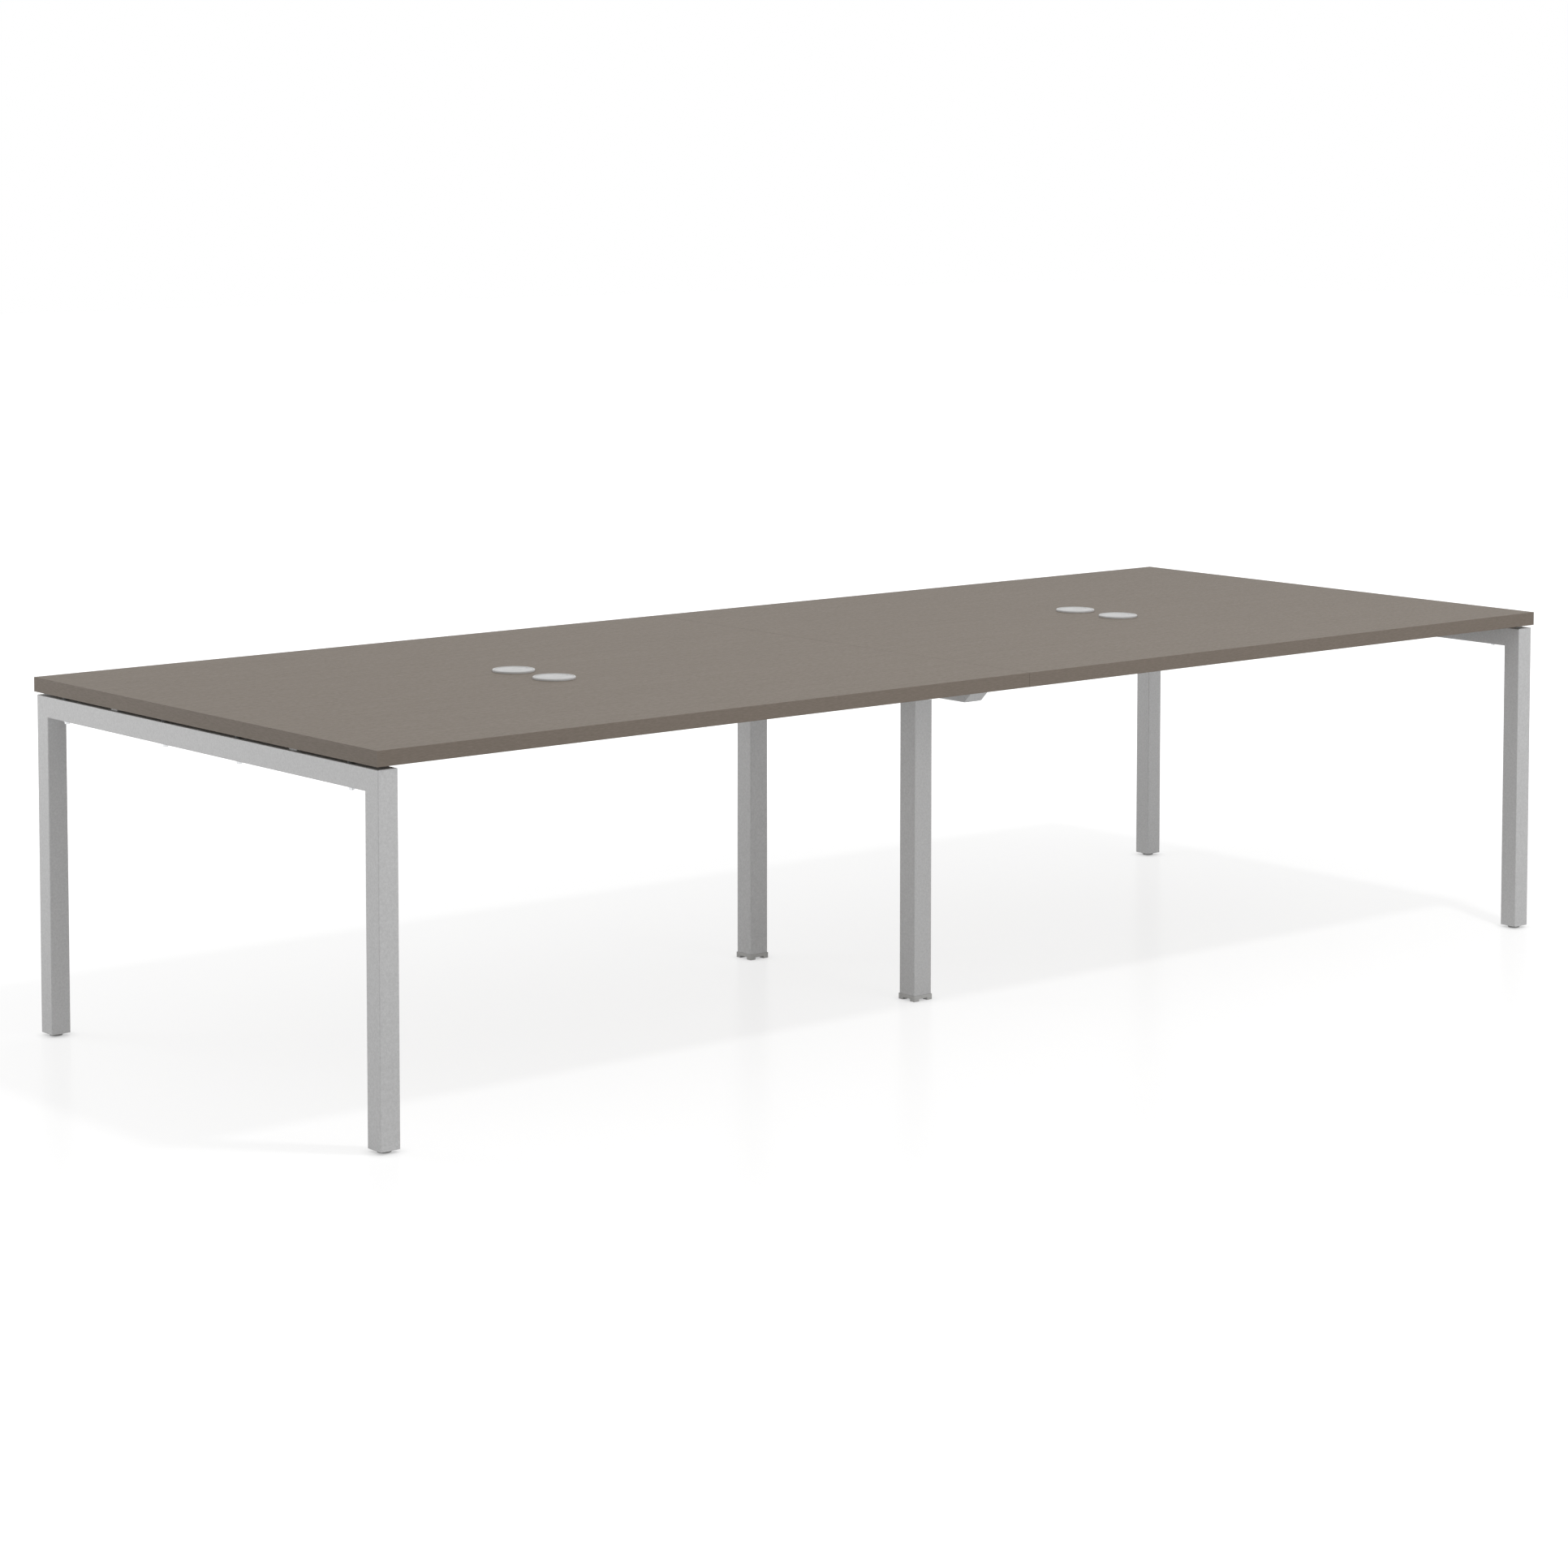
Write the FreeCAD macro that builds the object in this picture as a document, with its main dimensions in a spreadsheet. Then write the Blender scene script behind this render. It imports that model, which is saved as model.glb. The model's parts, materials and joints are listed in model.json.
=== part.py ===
import FreeCAD, Part
import math
import operator
import os
import Sketcher

# A long bench desk: two worktops on a left end frame, a right end frame and a middle frame.
# Millimetres, +Z up, X along the bench, -Y the front, origin on the floor under the middle of the bench.

doc = FreeCAD.newDocument("coworking_desk")
sheet = doc.addObject("Spreadsheet::Sheet", "Sizes")
pieces = []

# Sizes and formulas

ACTIONS = {"+": operator.add, "-": operator.sub, "*": operator.mul, "/": operator.truediv}


class Size:
    """A value that remembers the sheet formula it comes from."""

    def __init__(self, value, formula):
        self.value = value
        self.formula = formula

    def __add__(self, other):
        return joined(self, "+", other)

    def __radd__(self, other):
        return joined(other, "+", self)

    def __sub__(self, other):
        return joined(self, "-", other)

    def __rsub__(self, other):
        return joined(other, "-", self)

    def __mul__(self, other):
        return joined(self, "*", other)

    def __rmul__(self, other):
        return joined(other, "*", self)

    def __truediv__(self, other):
        return joined(self, "/", other)

    def __neg__(self):
        return joined(0, "-", self)


def as_size(given):
    """Lets a plain number stand where a size is wanted."""
    if isinstance(given, Size):
        return given
    return Size(float(given), repr(float(given)))


def joined(left, sign, right):
    """The size that a formula gives for two sizes."""
    left = as_size(left)
    right = as_size(right)
    value = ACTIONS[sign](left.value, right.value)
    return Size(value, "(" + left.formula + " " + sign + " " + right.formula + ")")


def on_sheet(row, alias, value):
    """Writes one driving size into a row of the sheet."""
    sheet.set("A" + str(row), alias.replace("_", " "))
    sheet.set("B" + str(row), str(value))
    sheet.setAlias("B" + str(row), alias)
    return Size(float(value), "Sizes." + alias)


# Driving sizes in millimetres and degrees

names_before = set(globals()) | {"names_before"}

# Worktops
worktop_height = 736.6
overall_length = 3200.4
overall_depth = 1244.6
worktop_thickness = 30
edging_thickness = 2
edging_round = 1
seam_gap = 0.6

# End frames
frame_inset = 4
end_tube = 43
end_wall = 2
tube_round = 2
foot_gap = 6

# Side beams and the tongues on their ends
side_beam_width = 25
side_beam_height = 40
side_beam_wall = 2
side_beam_offset = 325
side_beam_play = 0.8
tongue_thickness = 6
tongue_lap = 60
tongue_setback = 9
tongue_tip_gap = 1.5

# Cross beam under the seam
cross_width = 48
cross_height = 43
cross_wall = 2
cross_round = 2.5
cross_bottom_length = 900
cross_plate = 3

# Middle legs, their head plates and boots
middle_offset = 273.5
middle_tube = 48
middle_wall = 2
head_plate_length = 110
head_plate_thickness = 5
head_bolt_edge = 16
boot_skirt = 1.2
boot_height = 12
boot_floor = 2
boot_play = 0.1
notch_width = 23
notch_height = 5

# Levelling glides and bolts
glide_width = 26.6
glide_floor = 3
glide_edge = 1
thread_width = 8
thread_play = 0.08
stem_reach = 24
plug_height = 25
bush_wall = 3
bush_play = 0.1
leveller_hex = 17
leveller_gap = 0.3
thread_plate_thickness = 6

# Fasteners
screw_width = 6
screw_play = 0.5
screw_bite = 16
screw_inner = 134
screw_to_leg = 59.3
rail_screw_outward = 10
cross_screw_to_end = 50
cross_screw_to_round = 10.5
access_play = 0.75
spacer_width = 16
screw_flange = 15
screw_flange_height = 1.6
screw_head = 12
screw_head_height = 5
screw_head_taper = 0.8
screw_socket = 5
insert_wall = 2
insert_length = 20
insert_play = 0.1
nut_hex = 10
nut_height = 5
tongue_screw_length = 16
sunk_depth = 3
sunk_drop = 0.2
bolt_width = 8
bolt_hex = 13
bolt_head_height = 5.5
bolt_nut_height = 6.5
bolt_past_nut = 2

# Cable outlets
outlet_offset = 70
outlet_hole = 80
liner_play = 0.3
liner_wall = 2
liner_to_underside = 4
flange_lip = 4
flange_height = 4.6
flange_round = 1.8
seat_width = 1.8
lid_thickness = 3
lid_recess = 0.6
lid_play = 0.3
lid_edge = 0.5
skirt_wall = 2
skirt_height = 3.5
slot_width = 30
slot_inner = 7
slot_to_skirt = 5
flap_play = 0.3
flap_pin = 1.4
flap_pin_reach = 1.6
flap_pin_fit = 0.08
ledge_width = 12
ledge_reach = 2.5
ledge_root = 2
ledge_thickness = 1.5
ledge_gap = 0.1
nick_width = 8
nick_depth = 1.5

# Each size above goes on the sheet, and from here on its name stands for the formula of its row
driving_names = [name for name in globals() if name not in names_before]
for row, name in enumerate(driving_names, 1):
    globals()[name] = on_sheet(row, name, globals()[name])

# Places that follow from those sizes
worktop_underside = worktop_height - worktop_thickness
worktop_length = (overall_length - seam_gap) / 2
worktop_middle = (overall_length + seam_gap) / 4
core_length = worktop_length - edging_thickness * 2
core_depth = overall_depth - edging_thickness * 2
frame_top = worktop_underside - tongue_thickness
frame_length = overall_length - frame_inset * 2
frame_depth = overall_depth - frame_inset * 2
rail_middle_x = frame_length / 2 - end_tube / 2
rail_middle_z = frame_top - end_tube / 2
rail_inner_x = frame_length / 2 - end_tube
leg_middle_y = frame_depth / 2 - end_tube / 2
cross_bottom = frame_top - cross_height
cross_middle_z = frame_top - cross_height / 2
middle_leg_foot = notch_height + boot_floor
middle_leg_head = cross_bottom - head_plate_thickness
head_bolt_offset = head_plate_length / 2 - head_bolt_edge
tongue_width = side_beam_width
tongue_screw_x = cross_width / 4
screw_outer = frame_depth / 2 - end_tube - screw_to_leg
cross_screw_outer = cross_bottom_length / 2 - cross_screw_to_end
cross_screw_row = cross_width / 2 - cross_round - cross_screw_to_round
outlet_lid_seat = flange_height - lid_recess - lid_thickness
liner_depth = worktop_thickness - liner_to_underside
liner_bore = outlet_hole / 2 - liner_play - liner_wall
lid_skirt = liner_bore - lid_play
skirt_bore = lid_skirt - skirt_wall
slot_outer = skirt_bore - slot_to_skirt
flap_axis = slot_inner + flap_play + lid_thickness / 2

# How far a cutting shape runs past what it cuts
past = worktop_thickness / 6
# A hexagon's corner-to-corner size over its width across flats
HEX_CORNERS = 1.1547
# How near an edge lies to a plane it is on, and the angle in radians by which it may leave its axis
ON_PLANE = 0.01
ON_AXIS = 0.1

# Tools for documents and sketches


def bind(item, prop, size):
    """Sets a property of an object to a size's formula."""
    item.setExpression(prop, as_size(size).formula)


def place(item, x=0, y=0, z=0, turn=0):
    """Puts an object at a place, turned about Z."""
    spot = FreeCAD.Vector(as_size(x).value, as_size(y).value, as_size(z).value)
    item.Placement = FreeCAD.Placement(spot, FreeCAD.Rotation(FreeCAD.Vector(0, 0, 1), as_size(turn).value))
    bind(item, "Placement.Base.x", x)
    bind(item, "Placement.Base.y", y)
    bind(item, "Placement.Base.z", z)
    if isinstance(turn, Size):
        bind(item, "Placement.Rotation.Angle", turn)
    return item


def new_body(name):
    return doc.addObject("PartDesign::Body", name)


def new_sketch(body, role, name, height=None):
    """A sketch on one of the body's own planes, or at a height above it."""
    sketch = body.newObject("Sketcher::SketchObject", name)
    plane = [feature for feature in body.Origin.OriginFeatures if feature.Role == role][0]
    sketch.AttachmentSupport = (plane, [""])
    sketch.MapMode = "FlatFace"
    if height is not None:
        bind(sketch, "AttachmentOffset.Base.z", height)
    return sketch


def pin_point(sketch, line, point, x, y):
    """Fixes a point of the sketch by its distances from the origin."""
    for kind, axis, distance in (("DistanceX", -2, x), ("DistanceY", -1, y)):
        if isinstance(distance, Size):
            number = sketch.addConstraint(Sketcher.Constraint(kind, -1, 1, line, point, distance.value))
            bind(sketch, "Constraints[" + str(number) + "]", distance)
        else:
            sketch.addConstraint(Sketcher.Constraint("PointOnObject", line, point, axis))


def draw_outline(sketch, corners):
    """A closed outline through the corners. A corner's plain 0 lies on the axis."""
    first = sketch.GeometryCount
    count = len(corners)
    spots = [FreeCAD.Vector(as_size(x).value, as_size(y).value, 0) for x, y in corners]
    for step in range(count):
        sketch.addGeometry(Part.LineSegment(spots[step], spots[(step + 1) % count]), False)
    for step in range(count):
        following = first + (step + 1) % count
        sketch.addConstraint(Sketcher.Constraint("Coincident", first + step, 2, following, 1))
        pin_point(sketch, first + step, 1, *corners[step])


def draw_rectangle(sketch, wide, high):
    """A rectangle centred on the sketch's origin."""
    x = wide / 2
    y = high / 2
    draw_outline(sketch, [(-x, -y), (x, -y), (x, y), (-x, y)])


def draw_circle(sketch, x, y, radius):
    spot = FreeCAD.Vector(as_size(x).value, as_size(y).value, 0)
    circle = sketch.addGeometry(Part.Circle(spot, FreeCAD.Vector(0, 0, 1), radius.value), False)
    number = sketch.addConstraint(Sketcher.Constraint("Radius", circle, radius.value))
    bind(sketch, "Constraints[" + str(number) + "]", radius)
    pin_point(sketch, circle, 3, x, y)


def add_pad(body, sketch, length, both_ways=False):
    pad = body.newObject("PartDesign::Pad", sketch.Name + "_pad")
    pad.Profile = sketch
    bind(pad, "Length", length)
    if both_ways:
        pad.SideType = "Symmetric"
    return pad


def cut_through(body, sketch):
    """Cuts the sketch's outline right through the body, both ways."""
    pocket = body.newObject("PartDesign::Pocket", sketch.Name + "_cut")
    pocket.Profile = sketch
    pocket.Type = "ThroughAll"
    pocket.SideType = "Symmetric"
    return pocket


def cut_up(body, sketch, depth):
    """Cuts the sketch's outline into the body along the sketch's own normal."""
    pocket = body.newObject("PartDesign::Pocket", sketch.Name + "_cut")
    pocket.Profile = sketch
    pocket.Reversed = True
    bind(pocket, "Length", depth)
    return pocket


def cut_across(body, sketch, length):
    """Cuts the sketch's outline out of the body, half the length to each side of the sketch."""
    pocket = body.newObject("PartDesign::Pocket", sketch.Name + "_cut")
    pocket.Profile = sketch
    pocket.SideType = "Symmetric"
    bind(pocket, "Length", length)
    return pocket


def round_edges(body, radius, wanted):
    """Rounds those straight edges of the body that the wanted test picks."""
    doc.recompute()
    last = body.Tip
    names = []
    for number, edge in enumerate(last.Shape.Edges, 1):
        if edge.Curve.TypeId == "Part::GeomLine" and wanted(edge):
            names.append("Edge" + str(number))
    fillet = body.newObject("PartDesign::Fillet", last.Name + "_round")
    fillet.Base = (last, names)
    bind(fillet, "Radius", radius)
    return fillet


def runs_along(edge, axis):
    """Whether a straight edge is parallel to X, Y or Z, given as 0, 1 or 2."""
    return math.acos(min(abs(edge.Curve.Direction[axis]), 1)) < ON_AXIS


def turned(name, corners):
    """A body turned about Z from a half outline of radius and height."""
    body = new_body(name)
    sketch = new_sketch(body, "XZ_Plane", name + "_outline")
    draw_outline(sketch, corners)
    turning = body.newObject("PartDesign::Revolution", name + "_turning")
    turning.Profile = sketch
    turning.ReferenceAxis = (sketch, ["V_Axis"])
    return body


def box_solid(name, x_size, y_size, z_size):
    box = doc.addObject("Part::Box", name)
    bind(box, "Length", x_size)
    bind(box, "Width", y_size)
    bind(box, "Height", z_size)
    return box


def cylinder_solid(name, radius, height):
    cylinder = doc.addObject("Part::Cylinder", name)
    bind(cylinder, "Radius", radius)
    bind(cylinder, "Height", height)
    return cylinder


def cone_solid(name, low_radius, high_radius, height):
    cone = doc.addObject("Part::Cone", name)
    bind(cone, "Radius1", low_radius)
    bind(cone, "Radius2", high_radius)
    bind(cone, "Height", height)
    return cone


def hexagon_solid(name, across_flats, height):
    prism = doc.addObject("Part::Prism", name)
    prism.Polygon = 6
    bind(prism, "Circumradius", across_flats / 2 * HEX_CORNERS)
    bind(prism, "Height", height)
    return prism


def cut_from(name, base, tool):
    cut = doc.addObject("Part::Cut", name)
    cut.Base = base
    cut.Tool = tool
    return cut


def fused(name, members):
    fuse = doc.addObject("Part::MultiFuse", name)
    fuse.Shapes = members
    return fuse


def finished(item, label):
    """Marks an object as a piece of the desk, under its own name."""
    item.Label = label
    pieces.append(item)


def finished_group(label, members):
    """Marks several separate solids as one piece of the desk."""
    group = doc.addObject("Part::Compound", label + "_group")
    group.Links = members
    finished(group, label)


def ring_solid(name, inner_radius, outer_radius, height):
    """A ring: an outer cylinder less its bore, standing on Z 0."""
    bore = cylinder_solid(name + "_bore", inner_radius, height + past * 2)
    place(bore, z=-past)
    return cut_from(name, cylinder_solid(name + "_outside", outer_radius, height), bore)


# The two ends of the bench, and its front and back, as a sign and a word
ENDS = ((-1, "left"), (1, "right"))
SIDES = ((-1, "front"), (1, "back"))

# Worktops


def worktop_board(sign, word):
    """The board inside the edging, with two cable holes and holes for inserts underneath."""
    name = word + "_worktop_board"
    body = new_body(name)
    sheet_outline = new_sketch(body, "XY_Plane", name + "_outline")
    draw_rectangle(sheet_outline, core_length, core_depth)
    add_pad(body, sheet_outline, worktop_thickness)
    cable_holes = new_sketch(body, "XY_Plane", name + "_cable_holes")
    for side, _ in SIDES:
        draw_circle(cable_holes, 0, outlet_offset * side, outlet_hole / 2)
    cut_through(body, cable_holes)
    insert_holes = new_sketch(body, "XY_Plane", name + "_insert_holes")
    for x, y in screw_places(sign):
        draw_circle(insert_holes, x - worktop_middle * sign, y, insert_radius + insert_play)
    cut_up(body, insert_holes, insert_length + insert_play)
    place(body, x=worktop_middle * sign, z=worktop_underside)
    finished(body, name)


def screw_places(sign):
    """Where the worktop screws of one worktop stand: along its end rail and along the cross beam."""
    places = []
    for side, _ in SIDES:
        for y in (screw_inner, screw_outer):
            places.append(((rail_middle_x + rail_screw_outward) * sign, y * side))
        for y in (screw_inner, cross_screw_outer):
            places.append((cross_screw_row * sign, y * side))
    return places


def on_rail(x):
    """Whether a worktop screw stands on an end rail, and not on the cross beam."""
    return abs(x.value) > worktop_middle.value


def edging_strip(name, x_size, y_size, outer):
    """A strip of edging with its two outer long edges rounded. The outer side is an axis and a sign."""
    axis, sign = outer
    body = new_body(name)
    sketch = new_sketch(body, "XY_Plane", name + "_outline")
    draw_rectangle(sketch, x_size, y_size)
    add_pad(body, sketch, worktop_thickness)

    def on_the_outside(edge):
        return runs_along(edge, 1 - axis) and edge.CenterOfMass[axis] * sign > 0

    round_edges(body, edging_round, on_the_outside)
    return body


def worktop_edging(sign, word):
    """Four strips: two along the bench and two across it between them."""
    name = word + "_worktop_edging"
    strips = []
    for side, side_word in SIDES:
        strip = edging_strip(name + "_" + side_word, worktop_length, edging_thickness, (1, side))
        strips.append(place(strip, x=worktop_middle * sign, y=(overall_depth - edging_thickness) / 2 * side,
                            z=worktop_underside))
    for end, end_word in ENDS:
        strip = edging_strip(name + "_" + end_word, edging_thickness, core_depth, (0, end))
        reach = (worktop_length - edging_thickness) / 2 * end
        strips.append(place(strip, x=worktop_middle * sign + reach, z=worktop_underside))
    finished_group(name, strips)


# Tubes


def square_tube(name, role, wide, high, wall, run, axis, both_ways=True):
    """A tube with rounded corners and a hollow, run along an axis from one of the body's planes."""
    body = new_body(name)
    outside = new_sketch(body, role, name + "_outside")
    draw_rectangle(outside, wide, high)
    add_pad(body, outside, run, both_ways)
    round_edges(body, tube_round, lambda edge: runs_along(edge, axis))
    inside = new_sketch(body, role, name + "_inside")
    draw_rectangle(inside, wide - wall * 2, high - wall * 2)
    cut_through(body, inside)
    return body


def end_leg(sign, word, side, side_word):
    """An end frame's leg, its head cut at a slope to meet the rail."""
    name = word + "_" + side_word + "_leg"
    height = frame_top - foot_gap
    body = square_tube(name, "XY_Plane", end_tube, end_tube, end_wall, height, 2, both_ways=False)
    half = end_tube / 2
    slope = new_sketch(body, "YZ_Plane", name + "_slope")
    draw_outline(slope, [((half + past) * side, height + past),
                         (-(half + past) * side, height - end_tube - past),
                         (-(half + past) * side, height + past)])
    cut_through(body, slope)
    place(body, x=rail_middle_x * sign, y=leg_middle_y * side, z=foot_gap)
    finished(body, name)


def end_rail(sign, word):
    """An end frame's rail, sloped at both ends, with holes for worktop screws and tongue screws."""
    name = word + "_rail"
    body = square_tube(name, "XZ_Plane", end_tube, end_tube, end_wall, frame_depth, 1)
    half = end_tube / 2
    reach = frame_depth / 2
    slopes = new_sketch(body, "YZ_Plane", name + "_slopes")
    for side, _ in SIDES:
        draw_outline(slopes, [((reach + past) * side, half + past),
                              ((reach - end_tube - past) * side, -(half + past)),
                              ((reach + past) * side, -(half + past))])
    cut_through(body, slopes)
    screw_holes = new_sketch(body, "XY_Plane", name + "_screw_holes")
    tongue_holes = new_sketch(body, "XY_Plane", name + "_tongue_holes")
    for side, _ in SIDES:
        for y in (screw_inner, screw_outer):
            draw_circle(screw_holes, rail_screw_outward * sign, y * side, screw_width / 2 + screw_play)
        draw_circle(tongue_holes, 0, side_beam_offset * side, screw_width / 2 + screw_play)
    cut_through(body, screw_holes)
    cut_up(body, tongue_holes, half)
    place(body, x=rail_middle_x * sign, z=rail_middle_z)
    finished(body, name)


def side_beam(sign, word, side, side_word):
    """A beam between an end rail and the cross beam."""
    name = word + "_" + side_word + "_side_beam"
    run = rail_inner_x - cross_width / 2 - side_beam_play * 2
    body = square_tube(name, "YZ_Plane", side_beam_width, side_beam_height, side_beam_wall, run, 0)
    place(body, x=(rail_inner_x + cross_width / 2) / 2 * sign, y=side_beam_offset * side,
          z=frame_top - side_beam_height / 2)
    finished(body, name)


# Cross beam


def cross_section(name):
    """A solid bar with the cross beam's outline, with wide rounds below and small ones above."""
    body = new_body(name)
    outside = new_sketch(body, "XZ_Plane", name + "_outside")
    draw_rectangle(outside, cross_width, cross_height)
    add_pad(body, outside, cross_bottom_length + cross_height * 2, both_ways=True)
    round_edges(body, tube_round, lambda edge: runs_along(edge, 1) and edge.CenterOfMass.z > 0)
    round_edges(body, cross_round, is_low_corner)
    return body


def is_low_corner(edge):
    """An edge along the beam at its outside, below its middle."""
    low = edge.CenterOfMass.z < -cross_height.value / 2 + ON_PLANE
    wide = abs(edge.CenterOfMass.x) > cross_width.value / 2 - ON_PLANE
    return runs_along(edge, 1) and low and wide


def slope_corners(side, inward, outside):
    """The outline of what lies past a sloped end, on its outside or on its inside."""
    half = cross_height / 2
    foot = cross_bottom_length / 2 - inward
    far = cross_bottom_length / 2 + cross_height + past * 2
    if not outside:
        far = -far
    return [((foot - past) * side, -(half + past)), ((foot + cross_height + past) * side, half + past),
            (far * side, half + past), (far * side, -(half + past))]


def cross_beam():
    """The beam under the seam: a tube with sloped ends and holes for its screws and bolts. A wider hole
    below each worktop screw lets its head in."""
    name = "cross_beam"
    body = cross_section(name)
    inside = new_sketch(body, "XZ_Plane", name + "_inside")
    draw_rectangle(inside, cross_width - cross_wall * 2, cross_height - cross_wall * 2)
    cut_through(body, inside)
    inner_floor = -(cross_height.value / 2 - cross_wall.value)
    inner_side = cross_width.value / 2 - cross_wall.value

    def is_inner_low_corner(edge):
        low = abs(edge.CenterOfMass.z - inner_floor) < ON_PLANE
        wide = abs(abs(edge.CenterOfMass.x) - inner_side) < ON_PLANE
        return runs_along(edge, 1) and low and wide

    round_edges(body, cross_round - cross_wall, is_inner_low_corner)
    slopes = new_sketch(body, "YZ_Plane", name + "_slopes")
    screw_holes = new_sketch(body, "XY_Plane", name + "_screw_holes")
    tongue_holes = new_sketch(body, "XY_Plane", name + "_tongue_holes")
    bolt_holes = new_sketch(body, "XY_Plane", name + "_bolt_holes", height=-cross_height / 2)
    access_holes = new_sketch(body, "XY_Plane", name + "_access_holes", height=-cross_height / 2)
    for side, _ in SIDES:
        draw_outline(slopes, slope_corners(side, cross_plate, outside=True))
        for sign, _ in ENDS:
            for y in (screw_inner, cross_screw_outer):
                draw_circle(screw_holes, cross_screw_row * sign, y * side, screw_width / 2 + screw_play)
                draw_circle(access_holes, cross_screw_row * sign, y * side, screw_flange / 2 + access_play)
            tongue_y = side_beam_offset * side
            draw_circle(tongue_holes, tongue_screw_x * sign, tongue_y, screw_width / 2 + screw_play)
            bolt_y = (middle_offset + head_bolt_offset * sign) * side
            draw_circle(bolt_holes, 0, bolt_y, bolt_width / 2 + screw_play)
    cut_through(body, slopes)
    for holes in (screw_holes, tongue_holes, bolt_holes, access_holes):
        cut_up(body, holes, cross_height / 2)
    place(body, z=cross_middle_z)
    finished(body, name)


def cross_end_plates():
    """The plates that close the beam's sloped ends."""
    plates = []
    for side, side_word in SIDES:
        name = "cross_end_plate_" + side_word
        body = cross_section(name)
        outer = new_sketch(body, "YZ_Plane", name + "_outer_slope")
        draw_outline(outer, slope_corners(side, as_size(0), outside=True))
        inner = new_sketch(body, "YZ_Plane", name + "_inner_slope")
        draw_outline(inner, slope_corners(side, cross_plate, outside=False))
        cut_through(body, outer)
        cut_through(body, inner)
        plates.append(place(body, z=cross_middle_z))
    finished_group("cross_beam_end_plates", plates)


# Middle legs


def middle_leg(side, side_word):
    name = "middle_" + side_word + "_leg"
    height = middle_leg_head - middle_leg_foot
    body = square_tube(name, "XY_Plane", middle_tube, middle_tube, middle_wall, height, 2, both_ways=False)
    place(body, y=middle_offset * side, z=middle_leg_foot)
    finished(body, name)


def head_plates():
    """A plate on each middle leg's head, bolted under the cross beam."""
    plates = []
    for side, side_word in SIDES:
        name = "head_plate_" + side_word
        body = new_body(name)
        outline = new_sketch(body, "XY_Plane", name + "_outline")
        draw_rectangle(outline, middle_tube, head_plate_length)
        add_pad(body, outline, head_plate_thickness)
        holes = new_sketch(body, "XY_Plane", name + "_holes")
        for step in (-1, 1):
            draw_circle(holes, 0, head_bolt_offset * step, bolt_width / 2 + screw_play)
        cut_through(body, holes)
        plates.append(place(body, y=middle_offset * side, z=middle_leg_head))
    finished_group("middle_leg_head_plates", plates)


def boot(side, side_word):
    """The boot round a middle leg's foot: a groove for the tube above, a notch in each side below."""
    name = "middle_" + side_word + "_boot"
    body = new_body(name)
    outside_size = middle_tube + (boot_skirt + boot_play) * 2
    outline = new_sketch(body, "XY_Plane", name + "_outline")
    draw_rectangle(outline, outside_size, outside_size)
    add_pad(body, outline, boot_height)
    round_edges(body, boot_skirt, lambda edge: runs_along(edge, 2))
    groove = new_sketch(body, "XY_Plane", name + "_groove", height=middle_leg_foot)
    draw_rectangle(groove, middle_tube + boot_play * 2, middle_tube + boot_play * 2)
    spigot_size = middle_tube - (middle_wall + boot_play) * 2
    draw_rectangle(groove, spigot_size, spigot_size)
    cut_up(body, groove, boot_height - middle_leg_foot)
    notches = new_sketch(body, "XY_Plane", name + "_notches")
    half = notch_width / 2
    reach = outside_size / 2 + past
    draw_outline(notches, [(-reach, -half), (-half, -half), (-half, -reach), (half, -reach), (half, -half),
                           (reach, -half), (reach, half), (half, half), (half, reach), (-half, reach),
                           (-half, half), (-reach, half)])
    cut_up(body, notches, notch_height)
    stem_hole = new_sketch(body, "XY_Plane", name + "_stem_hole")
    draw_circle(stem_hole, 0, 0, thread_width / 2 + screw_play)
    cut_through(body, stem_hole)
    place(body, y=middle_offset * side)
    finished(body, name)


def thread_plates():
    """A threaded plate inside each middle leg, on its boot, for the levelling bolt."""
    plates = []
    for side, side_word in SIDES:
        name = "thread_plate_" + side_word
        body = new_body(name)
        size = middle_tube - middle_wall * 2
        outline = new_sketch(body, "XY_Plane", name + "_outline")
        draw_rectangle(outline, size, size)
        add_pad(body, outline, thread_plate_thickness)
        hole = new_sketch(body, "XY_Plane", name + "_hole")
        draw_circle(hole, 0, 0, thread_width / 2 + thread_play)
        cut_through(body, hole)
        plates.append(place(body, y=middle_offset * side, z=boot_height))
    finished_group("middle_leg_thread_plates", plates)


def levelling_bolt(side, side_word):
    """A hexagon-headed bolt inside a boot, turned through the notches."""
    name = "middle_" + side_word + "_levelling_bolt"
    head_height = notch_height - leveller_gap * 2
    head = hexagon_solid(name + "_head", leveller_hex, head_height)
    stem_length = boot_height + thread_plate_thickness + stem_reach
    stem = cylinder_solid(name + "_stem", thread_width / 2, stem_length)
    bolt = fused(name, [head, stem])
    place(bolt, y=middle_offset * side, z=leveller_gap)
    finished(bolt, name)


# Feet of the end legs


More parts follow.
